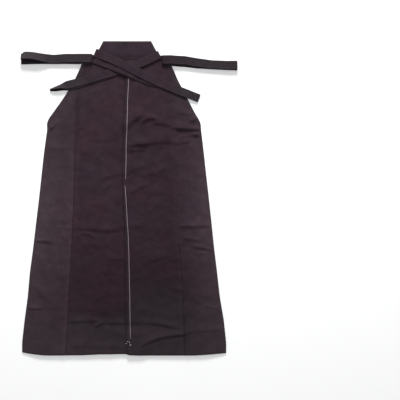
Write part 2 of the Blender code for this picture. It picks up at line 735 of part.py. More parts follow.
def back_ties():
    """Both back ties: the right one is laid first and the left one crosses over it."""
    covers = [back_top, board_top, band_top]
    under_plan = resample(RIGHT_UNDER)
    under = lay(under_plan, covers)
    upper_plan = resample(RIGHT_UPPER)
    upper = under + TIE + GAP
    covers.append(tie_cover(upper_plan, upper + TIE))
    covers.append(tie_cover(under_plan, under + TIE))
    right_under = chain(
        tuple(part[RIGHT_UNDER_START:] for part in run_of(under_plan, under, -1)),
        tip_run(TIP_UNDER, 0.0),
    )
    right_upper = chain(run_of(upper_plan, upper, -1), tip_run(TIP_UPPER, TIE + TIP_LIFT))
    back_tie("back_tie_right", root_of(RIGHT_ROOT), right_upper, right_under)

    under_plan = resample(LEFT_UNDER)
    under = lay(under_plan, covers)
    covers.append(tie_cover(under_plan, under + TIE))
    upper_plan = resample(LEFT_UPPER)
    upper = lay(upper_plan, covers)
    left_under = run_of(under_plan, under, -1)
    left_upper = run_of(upper_plan, upper, -1)
    back_tie("back_tie_left", root_of(LEFT_ROOT), left_upper, left_under)


for leftover in list(bpy.data.objects):
    bpy.data.objects.remove(leftover, do_unlink=True)

garment = bpy.data.collections.new("hakama_trousers")
bpy.context.scene.collection.children.link(garment)

front_width("front_left", -1, DARK_COTTON)
front_width("front_right", 1, DARK_COTTON)
front_waistband()
crotch_gusset()
back_width("back_left_outer", left_outer_columns, SIDE_COTTON)
back_width("back_left_inner", left_inner_columns, DARK_COTTON)
back_right_inner()
back_width("back_right_outer", right_outer_columns, SIDE_COTTON)
back_board()
front_tie("front_tie_left", FRONT_TIE_LEFT)
front_tie("front_tie_right", FRONT_TIE_RIGHT)
back_ties()
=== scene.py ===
import math

import bpy
import numpy as np
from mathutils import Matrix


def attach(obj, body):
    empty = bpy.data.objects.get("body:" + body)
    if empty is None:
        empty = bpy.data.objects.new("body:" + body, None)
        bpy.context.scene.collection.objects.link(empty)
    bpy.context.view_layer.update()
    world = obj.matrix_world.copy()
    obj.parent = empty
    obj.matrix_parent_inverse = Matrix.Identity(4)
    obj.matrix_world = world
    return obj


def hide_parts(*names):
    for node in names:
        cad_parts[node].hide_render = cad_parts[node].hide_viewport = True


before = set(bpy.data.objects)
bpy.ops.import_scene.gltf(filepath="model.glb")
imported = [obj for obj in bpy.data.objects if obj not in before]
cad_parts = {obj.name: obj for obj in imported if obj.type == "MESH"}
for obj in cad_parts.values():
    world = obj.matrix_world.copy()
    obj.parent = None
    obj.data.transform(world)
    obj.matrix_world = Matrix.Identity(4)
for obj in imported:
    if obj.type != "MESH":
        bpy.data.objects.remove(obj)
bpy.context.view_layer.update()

# Front widths. Each leg's front is dark cotton laid in knife pleats, three on the wearer's right
# and two on the left. It lies face down under the back, each pleat pressed from waist to hem.
# Sizes are in millimetres until a mesh is made.
MM = 0.001
# A layer as drawn and as stacked, the step from layer to layer, and the rounding of an edge.
THICK, STACK, PITCH, RIM = 1.0, 1.2, 1.55, 0.45


def table(names, rows):
    """Rows of numbers as a dictionary of named columns."""
    return dict(zip(names.split(), np.array(rows, float).T))


# The outline from waist to hem. "top" and "hem" say how far a section follows the shaped edges.
OUTLINE = table("y left left_seam fold right_seam right top hem", [
    (468.5, -162.7, -147.4, -11.4, 132, 143.3, 1, 0), (448, -167.8, -155.9, -12, 135, 150.2, 0.6, 0),
    (424, -177.5, -163.5, -12.4, 138.2, 157.5, 0.25, 0), (398, -188.2, -170, -13.1, 139.9, 166.8, 0, 0),
    (344, -221.2, -179.7, -14.8, 141.6, 195, 0, 0), (292, -258.2, -181.9, -16.8, 143.4, 221.5, 0, 0),
    (270, -274.6, -183, -17.5, 145.2, 235.4, 0, 0), (253, -280.7, -183.6, -18.2, 147.6, 243.3, 0, 0),
    (236, -278.3, -184.2, -18.5, 150, 243.3, 0, 0), (210, -282.4, -185.2, -19.2, 153, 246.7, 0, 0),
    (155, -289.9, -186.4, -20.8, 158.4, 253.1, 0, 0), (74, -298.7, -187.9, -21.9, 161.3, 262, 0, 0),
    (-7, -307.5, -189.5, -19.6, 163.4, 271.2, 0, 0), (-89, -317.4, -192.7, -15.8, 165.6, 280, 0, 0),
    (-171, -326.9, -196.4, -12.8, 173.4, 288.5, 0, 0), (-252, -337.8, -201.3, -12.1, 180.6, 298.4, 0, 0),
    (-334, -344.9, -206.4, -11, 184.6, 307.5, 0, 0), (-415, -355.8, -209.6, -10.4, 188, 321.1, 0, 0.1),
    (-497, -364.3, -215.6, -8.3, 190.2, 329.3, 0, 0.7), (-533.8, -364, -217.2, -6, 190.6, 329, 0, 1),
])
WAIST_Y, HEM_Y, CORNER_ROUND = 468.5, -533.8, 7.0
TOP_EDGE = table("x drop", [(-162.7, 15.5), (-120, 0), (111, 0), (143.3, 20.5)])
HEM_EDGE = table("x rise", [
    (-365, 10.5), (-345, 6.8), (-324, 3.7), (-290, 0.5), (-270, 0), (-161, 1), (-100, 4), (-12, 5),
    (0, 1.5), (36, 0), (223, 0), (281, 3.7), (330, 8),
])
# Each pleat's side, and its fold edge at waist and hem.
PLEATS = table("side waist hem", [(1, 46, 163), (1, 18, 73), (1, -10, -17), (-1, -66, -197), (-1, -38, -107)])
# How deep each pleat is, and how far past its fold edge it passes over, comes down and ends, at
# waist and at hem. The left width rises between the last two distances from its end.
PLEAT_STEPS = table("depth lip foot end rise_top rise_foot", [
    (17, 2.5, 7.5, 8, 4, 9.5), (62, 5, 19, 12, 8, 24),
])
CENTRE_PLEAT, CENTRE_GAP = 2, 0.3
FRONT_WAIST_Y, FRONT_BAND_Y, FRONT_SHORTER, FRONT_INSET = 455.6, 448.0, 1.5, 3.0
FRONT_HEM_Y = HEM_Y + FRONT_SHORTER
BAND_ENDS, BAND_LOWER_Y, BAND_UPPER_Y = (-160.7, 141.0), (456.0, 451.0), (488.0, 485.0)
FRONT_ROWS, FRONT_TONE = 110, 0.92


def ease(u):
    """A smooth step from 0 to 1: 3 u^2 - 2 u^3."""
    u = np.clip(u, 0.0, 1.0)
    return u * u * (3.0 - 2.0 * u)


def as_points(*parts):
    """Points from their coordinates, each a number or an array, spread to one shape."""
    return np.stack(np.broadcast_arrays(*parts), axis=-1)


def unit(vectors):
    """Vectors brought to length 1."""
    return vectors / np.maximum(np.linalg.norm(vectors, axis=-1, keepdims=True), 1e-9)


def travelled(path):
    """Length along a path at each of its points."""
    return np.concatenate([[0.0], np.cumsum(np.linalg.norm(np.diff(path, axis=0), axis=1))])


def along(name, y):
    """A column of the outline at a height, the mean of three readings so that its corners round."""
    y = np.asarray(y, float)
    shift = CORNER_ROUND * np.clip(np.minimum(WAIST_Y - y, y - HEM_Y) / CORNER_ROUND, 0.0, 1.0)
    readings = [np.interp(-(y + k * shift), -OUTLINE["y"], OUTLINE[name]) for k in (-1, 0, 1)]
    return sum(readings) / 3.0


def shaped_y(x, row):
    """Heights along a section, less the top edge's drop and plus the hem's rise where near them."""
    drop = np.interp(x, TOP_EDGE["x"], TOP_EDGE["drop"]) * along("top", row)
    rise = np.interp(x, HEM_EDGE["x"], HEM_EDGE["rise"]) * along("hem", row)
    return row - drop + rise


def band_edges(x):
    """The waistband's lower and upper edge, each a straight slope between its two ends."""
    share = (x - BAND_ENDS[0]) / (BAND_ENDS[1] - BAND_ENDS[0])
    return [start + share * (stop - start) for start, stop in (BAND_LOWER_Y, BAND_UPPER_Y)]


def spread(start, stop, parts):
    """Columns shared evenly from one line to another, set in from both by the rounded rim."""
    step = np.sign(stop - start) * RIM
    share = np.linspace(0.0, 1.0, parts + 1)
    inside = (start + step)[..., None] + (stop - start - 2 * step)[..., None] * share
    return np.concatenate([start[..., None], inside, stop[..., None]], axis=-1)


def run(start, stop, parts):
    """Points of a straight run, from its start up to but not including its end."""
    share = np.arange(parts) / parts
    return start[:, None] + (stop - start)[:, None] * share[:, None]


def half_turn(start, stop, parts, outward):
    """A half circle between two layers: middle - radius cos(angle) + outward |radius| sin(angle)."""
    angle = np.pi * np.arange(parts)[:, None] / parts
    middle, radius = (start + stop)[:, None] / 2, (stop - start)[:, None] / 2
    bulge = np.linalg.norm(radius, axis=-1, keepdims=True) * np.array([outward, 0.0])
    return middle - radius * np.cos(angle) + bulge * np.sin(angle)


def linear(hex_colour):
    """An sRGB hex colour as linear red, green, blue and a full alpha."""
    parts = np.array([int(hex_colour[k:k + 2], 16) for k in (1, 3, 5)]) / 255.0
    parts = np.where(parts <= 0.04045, parts / 12.92, ((parts + 0.055) / 1.055) ** 2.4)
    return (*parts.tolist(), 1.0)


def node(tree, kind, inputs=(), **settings):
    """Add a node with its settings, and set each named input or link it to another's output."""
    made = tree.nodes.new("ShaderNode" + kind)
    for name, value in settings.items():
        setattr(made, name, value)
    for name, value in dict(inputs).items():
        if isinstance(value, bpy.types.NodeSocket):
            tree.links.new(value, made.inputs[name])
        else:
            made.inputs[name].default_value = value
    return made


def dyed_cotton(name, warm, cool, dusty, thread_mm=1.2):
    """Plain-woven cotton, piece-dyed and unglazed.

    The weave is really 0.5 mm a thread and is drawn at 1.2 mm: warp and weft pass over each other
    by turns, each thread rounded, with painted shade where it dives, and of its own shade along its
    length. A streaky slub and a soft crumple add to the bump. A slow drift from warm to cool, a
    mottle, the piece's tone (painted light and shade as well as its own unevenness) and how dusty it
    is give the colour. A thin nap gives the dull sheen.
    """
    material = bpy.data.materials.new(name)
    material.use_nodes = True
    tree = material.node_tree
    shader = tree.nodes["Principled BSDF"]
    cloth = node(tree, "UVMap", uv_map="cloth").outputs[0]
    place = node(tree, "TexCoord").outputs["Object"]
    thread = thread_mm * MM
    wander = node(tree, "TexNoise", {"Vector": cloth, "Scale": 90.0, "Detail": 1.0})
    threads = node(tree, "VectorMath", {
        0: wander.outputs["Color"], 1: (thread,) * 3, 2: cloth,
    }, operation="MULTIPLY_ADD").outputs[0]
    # Square by square it is the warp's turn to lie on top, or the weft's.
    turns = node(tree, "TexChecker", {
        "Vector": threads, "Color1": (1.0,) * 4, "Color2": (0.0, 0.0, 0.0, 1.0), "Scale": 1.0 / thread,
    }).outputs["Fac"]
    rounded_over, own_shade = [], []
    for direction, stretch in (("X", (700.0, 40.0, 1.0)), ("Y", (40.0, 700.0, 1.0))):
        band = node(tree, "TexWave", {
            "Vector": threads, "Scale": 2 * math.pi / (20 * thread),
        }, bands_direction=direction)
        rounded_over.append(band.outputs["Fac"])
        along_thread = node(tree, "Mapping", {"Vector": threads, "Scale": stretch}).outputs[0]
        streaks = node(tree, "TexNoise", {"Vector": along_thread, "Scale": 1.0, "Detail": 2.0})
        own_shade.append(streaks.outputs["Fac"])
    over = []
    for across, lengthwise in (rounded_over, rounded_over[::-1]):
        flat_top = node(tree, "Math", {0: lengthwise, 1: 0.5}, operation="POWER").outputs[0]
        over.append(node(tree, "Math", {0: across, 1: flat_top}, operation="MULTIPLY").outputs[0])
    weave, heather = (
        node(tree, "Mix", {0: turns, 2: pair[1], 3: pair[0]}, data_type="FLOAT").outputs[0]
        for pair in (over, own_shade)
    )
    streak_at = node(tree, "Mapping", {"Vector": cloth, "Scale": (14.0, 420.0, 1.0)}).outputs[0]
    slub, nap, drift, mottle, crumple = (
        node(tree, "TexNoise", {
            "Vector": vector, "Scale": scale, "Detail": detail, "Roughness": rough, "Distortion": bent,
        }).outputs["Fac"]
        for vector, scale, detail, rough, bent in (
            (streak_at, 1.0, 3.0, 0.6, 0.0), (place, 260.0, 3.0, 0.65, 0.0), (place, 7.0, 2.0, 0.5, 0.0),
            (place, 34.0, 2.0, 0.55, 0.0), (place, 38.0, 1.0, 0.4, 0.3),
        )
    )
    patch = node(tree, "MapRange", {"Value": drift, "From Min": 0.38, "From Max": 0.62}).outputs[0]
    dust = node(tree, "Attribute", attribute_name="dust").outputs["Fac"]
    dye = node(tree, "Mix", {0: patch, 6: linear(warm), 7: linear(cool)}, data_type="RGBA").outputs[2]
    dye = node(tree, "Mix", {0: dust, 6: dye, 7: linear(dusty)}, data_type="RGBA").outputs[2]
    # Each of these darkens and lightens the cloth between two factors; the weave's one is painted shade where
    # threads dive.
    shade = node(tree, "Attribute", attribute_name="tone").outputs["Fac"]
    for value, low, high, dark, pale in (
        (slub, 0.3, 0.7, 0.97, 1.03), (nap, 0.25, 0.75, 0.9, 1.1), (weave, 0.0, 1.0, 0.84, 1.34),
        (heather, 0.3, 0.7, 0.86, 1.14), (mottle, 0.3, 0.7, 0.87, 1.13),
    ):
        factor = node(tree, "MapRange", {
            "Value": value, "From Min": low, "From Max": high, "To Min": dark, "To Max": pale,
        }).outputs[0]
        shade = node(tree, "Math", {0: shade, 1: factor}, operation="MULTIPLY").outputs[0]
    colour = node(tree, "VectorMath", {0: dye, "Scale": shade}, operation="SCALE")
    rough = node(tree, "MapRange", {"Value": nap, "To Min": 0.82, "To Max": 0.98})
    # Dusty cloth lies calmer. The bumps are laid on one another from the finest to the broadest.
    calm = node(tree, "MapRange", {"Value": dust, "To Min": 1.0, "To Max": 0.35}).outputs[0]
    soft = node(tree, "Math", {0: crumple, 1: calm}, operation="MULTIPLY").outputs[0]
    below = {}
    for height, strength, deep_mm in (
        (weave, 0.5, 0.3), (slub, 0.3, 0.3), (nap, 0.4, 0.5), (soft, 1.0, 2.4),
    ):
        relief = node(tree, "Bump", {
            "Height": height, "Strength": strength, "Distance": deep_mm * MM, **below,
        })
        below = {"Normal": relief.outputs[0]}
    for socket, made in (("Base Color", colour), ("Roughness", rough), ("Normal", relief)):
        tree.links.new(made.outputs[0], shader.inputs[socket])
    shader.inputs["IOR"].default_value = 1.45
    shader.inputs["Specular IOR Level"].default_value = 0.15
    shader.inputs["Sheen Weight"].default_value = 0.05
    shader.inputs["Sheen Roughness"].default_value = 0.55
    shader.inputs["Sheen Tint"].default_value = linear("#b9a9b4")
    return material


def add_mesh(name, points, faces, material, cloth_map=None, shades=()):
    """A finished piece at the origin from millimetre points, with its cloth map and its shades."""
    mesh = bpy.data.meshes.new(name)
    mesh.from_pydata((points * MM).tolist(), [], faces)
    mesh.update()
    mesh.shade_smooth()
    mesh.materials.append(material)
    if cloth_map is not None:
        corners = np.empty(len(mesh.loops), np.int32)
        mesh.loops.foreach_get("vertex_index", corners)
        layer = mesh.uv_layers.new(name="cloth")
        layer.data.foreach_set("uv", (cloth_map[corners] * MM).astype(np.float32).ravel())
    for shade, values in dict(shades).items():
        mesh.attributes.new(shade, "FLOAT", "POINT").data.foreach_set("value", values.astype(np.float32))
    piece = bpy.data.objects.new(name + "_piece", mesh)
    bpy.context.scene.collection.objects.link(piece)
    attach(piece, "root")
    return piece


def shell(name, middle, half, cloth_map, material, tone=1.0, dust=0.0, normal=(0.0, 0.0, 1.0)):
    """A closed cloth from a grid: middle + half x normal above and middle - half x normal below.
    The border isn't pushed out, so both faces meet there."""
    grid_shape = middle.shape[:2]
    normal = np.broadcast_to(normal, middle.shape)
    inside = np.zeros(grid_shape, bool)
    inside[1:-1, 1:-1] = True
    push = normal * np.where(inside, half, 0.0)[..., None]
    upper = np.arange(inside.size).reshape(grid_shape)
    lower = upper.copy()
    lower[inside] = inside.size + np.arange(np.count_nonzero(inside))
    quads = [
        np.stack([grid[:-1, :-1], grid[:-1, 1:], grid[1:, 1:], grid[1:, :-1]], axis=-1).reshape(-1, 4)
        for grid in (upper, lower)
    ]
    faces = np.concatenate([quads[0], quads[1][:, ::-1]])
    turn = np.cross(np.gradient(middle, axis=1), np.gradient(middle, axis=0))
    if np.sum(turn * normal) < 0:
        faces = faces[:, ::-1]
    points = np.concatenate([(middle + push).reshape(-1, 3), (middle - push)[inside]])
    tone, dust = (np.broadcast_to(shade, grid_shape) for shade in (tone, dust))
    cloth_map, tone, dust = (
        np.concatenate([grid.reshape(-1, *grid.shape[2:]), grid[inside]]) for grid in (cloth_map, tone, dust)
    )
    shades = {"tone": tone, "dust": dust}
    return add_mesh(name, points, faces.tolist(), material, cloth_map, shades)


def carried(name, path, side, y, height, half, tone, dust=0.0):
    """A width whose section, of distances across and heights, is carried from waist to hem. Its
    normal is the section's slope turned a quarter, and its weave follows the section's length."""
    slope = unit(np.gradient(path, axis=1))
    normal = as_points(-slope[..., 1] * side, 0.0, slope[..., 0])
    reach = np.cumsum(np.linalg.norm(np.diff(path, axis=1, prepend=path[:, :1]), axis=-1), axis=1)
    piece = shell(
        name, as_points(path[..., 0] * side, y, height), half, as_points(reach, y), trouser_cotton,
        tone, dust, normal,
    )
    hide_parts(name)
    return piece


def front_path(side, row):
    """Sections of a pleated width as distances outwards from the middle, and heights.

    Each pleat runs in to its fold edge, turns back to its depth, turns again and passes over the
    fold edge. The last fold of the right width stays up, and the left width climbs to meet it.
    """
    share = (FRONT_WAIST_Y - row) / (FRONT_WAIST_Y - FRONT_HEM_Y)
    low, mid, high = STACK / 2, STACK / 2 + PITCH, STACK / 2 + 2 * PITCH
    nose = STACK / 2 + PITCH / 2
    steps = {name: np.interp(share, (0.0, 1.0), ends) for name, ends in PLEAT_STEPS.items()}
    folds = PLEATS["waist"] + share[:, None] * (PLEATS["hem"] - PLEATS["waist"])
    edge = along("right" if side > 0 else "left", row) * side - FRONT_INSET
    place = as_points(edge - RIM, low)
    blocks = [run(as_points(edge, low), place, 1)]
    for k in np.flatnonzero(PLEATS["side"] == side):
        fold = folds[:, k] * side
        front, back = fold + nose, fold + steps["depth"] - nose
        blocks += [
            run(place, as_points(front, low), 14),
            half_turn(as_points(front, low), as_points(front, mid), 5, -1.0),
            run(as_points(front, mid), as_points(back, mid), 6),
            half_turn(as_points(back, mid), as_points(back, high), 5, 1.0),
        ]
        if k == CENTRE_PLEAT:
            stop = fold - steps["end"]
            blocks.append(run(as_points(back, high), as_points(stop + RIM, high), 12))
        else:
            over, place = as_points(fold - steps["lip"], high), as_points(fold - steps["foot"], low)
            blocks += [run(as_points(back, high), over, 10), run(over, place, 4)]
    if side < 0:
        stop = steps["end"] - folds[:, CENTRE_PLEAT] + CENTRE_GAP
        foot, top = as_points(stop + steps["rise_foot"], low), as_points(stop + steps["rise_top"], high)
        blocks += [run(place, foot, 8), run(foot, top, 4), run(top, as_points(stop + RIM, high), 3)]
    ends = [as_points(stop + RIM, high)[:, None], as_points(stop, high)[:, None]]
    return np.concatenate(blocks + ends, axis=1)


trouser_cotton = dyed_cotton("dyed_cotton_plain_weave", "#322229", "#2f232a", "#32292e")
front_rows = spread(np.array(FRONT_WAIST_Y), np.array(FRONT_HEM_Y), FRONT_ROWS)
for name, side, flat, area in (
    ("front_left", -1, (0.60, 1.0), 0.41),
    ("front_right", 1, (0.72, 1.0), 0.48),
):
    path = front_path(side, front_rows)
    x = path[..., 0] * side
    rows = front_rows[:, None] + 0 * x
    band = np.clip((rows - FRONT_BAND_Y) / (FRONT_WAIST_Y - FRONT_BAND_Y), 0.0, 1.0)
    hanging = shaped_y(x, rows - FRONT_SHORTER) + FRONT_SHORTER
    bound = rows + band_edges(x)[0] - BAND_LOWER_Y[0]
    piece = carried(
        name, path, side, (1 - band) * hanging + band * bound, path[..., 1], THICK / 2, FRONT_TONE,
    )


# Front waistband and gusset. The band binds the pleats' top edge and lies under the board. The
# gusset is a square of the same cotton set into the crotch, folded flat between front and back.
BAND_PROFILE = table("down height", [
    (0, 1), (0.01, 2), (0.08, 2.9), (0.5, 3.6), (0.92, 4.2), (0.99, 3.2), (1, 1.6),
])
tie_cotton = dyed_cotton("dyed_cotton_folded_tie", "#32242b", "#2f252c", "#312c30")
share = np.concatenate([[0.0, 0.0015], np.linspace(0.01, 0.99, 60), [0.9985, 1.0]])[None, :]
down = np.array([0.0, 0.01, 0.04, 0.08, 0.2, 0.35, 0.5, 0.65, 0.8, 0.92, 0.96, 0.99, 1.0])[:, None]
x = BAND_ENDS[0] + share * (BAND_ENDS[1] - BAND_ENDS[0]) + 0 * down
lower, upper = band_edges(x)
y = upper + down * (lower - upper)
thick = np.interp(down, BAND_PROFILE["down"], BAND_PROFILE["height"]) + 0 * x
band = shell(
    "front_waistband", as_points(x, y, thick / 2), thick / 2, as_points(x, y), tie_cotton,
)
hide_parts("front_waistband")

GUSSET_CENTRE, GUSSET_HALF, GUSSET_TONE = (-16.0, -110.0), (55.0, 80.0), 0.9
BODY_LEVEL = 4.65
down = np.linspace(-1.0, 1.0, 25)[:, None]
x = GUSSET_CENTRE[0] + GUSSET_HALF[0] * (1.04 - np.abs(down)) * np.linspace(-1.0, 1.0, 17)[None, :]
y = GUSSET_CENTRE[1] - GUSSET_HALF[1] * down + 0 * x
gusset = shell(
    "crotch_gusset", as_points(x, y, BODY_LEVEL + STACK / 2), THICK / 2, as_points(x, y),
    trouser_cotton, GUSSET_TONE,
)
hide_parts("crotch_gusset")


# Back widths. Four lengths of the same cotton are seamed down the legs, and the right one's fold
# laps over the left one down the centre. They lie loosely and are creased from being folded.
SIDE_ROLL, SIDE_LEVEL, WAIST_LEVEL = 70.0, PITCH, BODY_LEVEL + 0.15
WAIST_RISE = (405.0, 445.0)
RETURN_WIDTH, UNDERLAP, OVERLAP_FADE = 42.0, 30.0, (42.0, 80.0)
SEAM, NOSE = 0.3, 1.375
# Rows from waist to hem, and columns across an outer width, the left inner one and the right
# inner one's face.
BACK_ROWS, OUTER_COLUMNS, INNER_COLUMNS, FACE_COLUMNS = 250, 36, 50, 46
# Creases: a line between two ends, bowed sideways, its height, and its half-width on the waist's
# side and on the hem's side. A narrow lower side is a steep one that catches no light.
CREASES = table("x0 y0 x1 y1 bow rise above below", [
    (-18, 232, 62, 289, 9, 5.8, 24, 10), (38, 249, 98, 269, 13, 5.4, 12, 6),
    (80, 256, 150, 241, 4, 3.2, 14, 5), (146, 241, 246, 236, -2, 7.4, 10, 7),
    (206, 262, 244, 281, -3, 4.2, 8, 5), (150, 258, 206, 249, -4, 2.4, 8, 4.5),
    (160, 292, 236, 270, 5, 1.8, 14, 5), (212, 218, 250, 211, 1, 3.4, 8, 4.5),
    (168, 205, 240, 217, 3, 2, 10, 5), (-6, 178, 66, 183, 3, 4.3, 22, 7.5),
    (8, 180, 158, 194, 3, 3.3, 25, 7), (-2, 165, 52, 169, -2, 3, 12, 7),
    (146, 186, 206, 196, -3, 2.4, 14, 5), (98, 176, 130, 172, 2, 1.4, 10, 6),
    (-4, 92, 60, 110, 3, 2.4, 18, 9), (0, 16, 70, 50, 3, 3.4, 16, 7), (20, 10, 110, 34, 4, 1.9, 16, 8),
    (66, -52, 106, -12, 2, 2, 14, 8), (100, 94, 126, 100, 2, 2.8, 10, 7),
    (48, 78, 104, 88, 4, 1.6, 18, 8), (58, 6, 116, 20, 6, 1.4, 14, 7),
    (-286, 212, -254, 246, 4, 3.2, 8, 4.5), (-270, 232, -236, 262, 3, 2, 8, 5),
    (-110, 130, -92, 162, 3, 1.8, 7, 5), (-272, 166, -204, 171, 2, 1.3, 14, 6),
    (-136, 197, -62, 203, -3, 1.9, 16, 6), (-160, 150, -106, 160, 3, 1.2, 20, 9),
    (-98, 66, -4, 88, 3, 2.8, 22, 8), (-180, 108, -124, 96, -3, 0.9, 18, 9),
    (-150, -20, -60, -34, 4, 0.9, 18, 9), (-178, -98, -30, -106, -4, 3.2, 18, 6.5),
    (-164, -122, -112, -140, 8, 3, 9, 4), (-40, -98, 50, -96, 3, 1.4, 12, 5),
    (-170, -156, -74, -166, 4, 1.2, 18, 7), (-80, -202, -14, -204, -2, 1.7, 12, 4.5),
    (-328, -144, -262, -148, 1, 3.4, 9, 3.4), (-246, -101, -192, -103, 1, 1.5, 6, 3),
    (-248, -116, -204, -108, 1, 0.9, 6, 3.5), (164, -94, 274, -92, -2, 3.2, 13, 4),
    (186, -136, 246, -146, 1, 2.4, 9, 4), (212, -164, 290, -180, 4, 3.4, 8, 4),
    (222, -186, 284, -180, -6, 1.5, 7, 3.5), (78, -214, 130, -190, -2, 1.9, 12, 4.5),
    (14, -176, 84, -164, 3, 1, 14, 7), (132, -304, 176, -312, 2, 1.3, 14, 6),
    (-150, -366, -56, -384, -5, 1.2, 20, 9), (70, -322, 150, -330, 5, 1, 22, 10),
    (-352, -372, -294, -376, 1, 3.2, 8, 3.2), (252, -367, 304, -376, 1, 1.6, 8, 3),
    (-214, -418, -104, -414, 1, 2.8, 15, 5), (-118, -434, -88, -416, -3, 3, 6, 3.5),
    (-96, -424, 48, -422, 2, 2.8, 14, 5), (44, -418, 190, -444, 2, 2.9, 14, 5),
    (40, -502, 104, -474, 3, 3.4, 12, 4.2), (92, -476, 196, -462, 4, 4, 13, 4.2),
    (184, -456, 326, -448, 4, 2, 14, 5), (-208, -497, -6, -503, -2, 1.3, 14, 6),
])
# Long pressed folds that run with the legs.
PRESSES = table("x0 y0 x1 y1 rise half_width", [
    (-108, 300, -112, -60, 0.7, 7), (104, 150, 112, -190, 0.7, 7), (-246, 190, -276, -380, 0.6, 9),
    (206, 100, 238, -330, 0.6, 9), (196, -262, 172, -322, 1.5, 5), (-64, 160, -60, -20, 0.5, 8),
])
# Waves that together rumple the cloth.
WAVES = table("height length slant phase", [
    (0.50, 96, 80, 0.4), (0.36, 61, 103, 2.1), (0.24, 43, 68, 4.0), (0.30, 74, 24, 1.0),
    (0.15, 27, 95, 5.2), (0.12, 31, 48, 0.2),
])
# Depth of colour along five lines down the legs, paler on the outer edges: at the waist, what is
# added about the knee, and what is lost about the shin.
DEPTHS = {
    "inner_left": (1.15, 0.03, 0.27), "inner_right": (1.08, -0.04, 0.24), "seam": (1.25, 0.33, 0.06),
    "left_edge": (1.28, 0.66, -0.16), "right_edge": (1.31, 0.62, -0.10),
}
KNEE_Y, KNEE_REACH, SHIN_Y, SHIN_REACH = -40.0, 230.0, -330.0, 180.0
# How greyed each width is, where the dye has rubbed thin: along the leg, the height at which it
# begins to grow towards the hem, and the length over which it does.
GREYS = {
    "left": (0.55, -400.0, 80.0), "inner_left": (0.03, -372.0, 60.0),
    "inner_right": (0.03, -265.0, 90.0), "right": (0.30, -270.0, 200.0),
}
# Soft patches, darker or paler: painted shade under the board's foot and among the creases at the right hip,
# and elsewhere patches of uneven tone.
PATCHES = table("x y wide high amount", [
    (-20, -400, 95, 32, -0.20), (100, -300, 60, 55, -0.12), (95, 200, 60, 26, -0.18),
    (-45, 180, 34, 60, -0.16), (-222, 236, 16, 24, -0.16), (-215, -495, 60, 30, 0.12),
    (145, 420, 26, 24, -0.16), (208, 242, 40, 26, -0.26), (-250, 150, 34, 40, -0.12),
    (40, -446, 110, 18, 0.2), (60, -178, 45, 22, 0.12), (0, 457, 60, 9, -0.16), (180, 305, 30, 26, -0.09),
])
# From the thigh down, the raised edges beside both seams get a painted highlight: the left
# one's, and the right one's very edge, as far as the calf. Towards the hem the seams get painted shade.
THIGH_Y, RIGHT_HIGHLIGHT_Y, LEFT_HIGHLIGHT_END, RIGHT_HIGHLIGHT_END, HEM_SHADE_Y = 215.0, 250.0, -150.0, -180.0, -300.0
HEM_TURN, HEM_EASE, SLIT_TURN, SLIT_END_Y, TURNED_IN = 13.0, 3.0, 7.0, 262.0, 0.2


def stripe(distance, amount, middle, reach):
    """A soft stripe beside a line: amount exp(-((distance - middle) / reach)^2)."""
    return amount * np.exp(-((distance - middle) / reach) ** 2)


def fringe(distance, amount, reach):
    """What fades away from a line: amount exp(-distance / reach)."""
    return amount * np.exp(-distance / reach)


def inset_from_sides(x, y):
    """Distance in from the nearer outer edge."""
    return np.minimum(x - along("left", y), along("right", y) - x)


def at_hem(y):
    """1 on the turned-in hem, and 0 above it."""
    return 1 - ease((y - FRONT_HEM_Y - HEM_TURN) / HEM_EASE)


def crease_height(x, y):
    """Sum of the creases: each a ridge about a bowed line, uneven on its two sides, and tapered."""
    total = np.zeros(np.broadcast(x, y).shape)
    for x0, y0, x1, y1, bow, rise, above, below in zip(*CREASES.values()):
        length = math.hypot(x1 - x0, y1 - y0)
        ux, uy = (x1 - x0) / length, (y1 - y0) / length
        share = ((x - x0) * ux + (y - y0) * uy) / length
        taper = ease((share + 0.12) / 0.34) * ease((1.12 - share) / 0.34)
        off = (y - y0) * ux - (x - x0) * uy - bow * 4 * share * (1 - share)
        total += taper * stripe(off, rise, 0.0, np.where(off > 0, above, below))
    for x0, y0, x1, y1, rise, half_width in zip(*PRESSES.values()):
        share = (y - y0) / (y1 - y0)
        taper = ease(share / 0.2) * ease((1 - share) / 0.2)
        total += taper * stripe(x, rise, x0 + (x1 - x0) * share, half_width)
    return total


def rumple(x, y):
    """The cloth's faint unevenness: waves at several slants, bent by one another and of uneven
    strength, never below nothing."""
    bent_x = x + 16.0 * np.sin(y / 53.0 + 1.3)
    bent_y = y + 13.0 * np.sin(x / 41.0 + 0.7)
    total = np.zeros(np.broadcast(x, y).shape)
    for height, length, slant, phase in zip(*WAVES.values()):
        heading = math.radians(slant)
        reach = bent_x * math.cos(heading) + bent_y * math.sin(heading)
        total += height * np.sin(reach * 2 * math.pi / length + phase)
    strength = 0.65 + 0.35 * np.sin(x / 71.0 + 2.0) * np.sin(y / 97.0 + 1.0)
    return np.maximum(0.9 + strength * total, 0.0)


def rest_level(x, y):
    """Underside of the lowest back layer: the level of what it covers, plus swell and creases."""
    side = inset_from_sides(x, y)
    level = SIDE_LEVEL + (BODY_LEVEL - SIDE_LEVEL) * ease(side / SIDE_ROLL)
    waist = ease((y - WAIST_RISE[0]) / (WAIST_RISE[1] - WAIST_RISE[0]))
    level = level + (WAIST_LEVEL - level) * waist
    gusset = PITCH
    for place, centre, half in zip((x, y), GUSSET_CENTRE, GUSSET_HALF):
        gusset = gusset * ease(1.15 - (np.abs(place - centre) - half) / SIDE_ROLL)
    loose = ease(side / 14.0) * (1.0 - waist)
    return level + gusset + loose * (crease_height(x, y) + rumple(x, y) * (1.0 - fringe(side, 0.4, 70.0)))


def overlap(x, y):
    """How fully the right width is lifted by its own return and the left width beneath it."""
    start, stop = OVERLAP_FADE
    return 1.0 - ease((x - along("fold", y) - start) / (stop - start))


def seam_rise(off, height, reach):
    """The roll of cloth beside a seam, highest a little way in from it."""
    return stripe(np.abs(off), height, 0.25 * reach, reach)


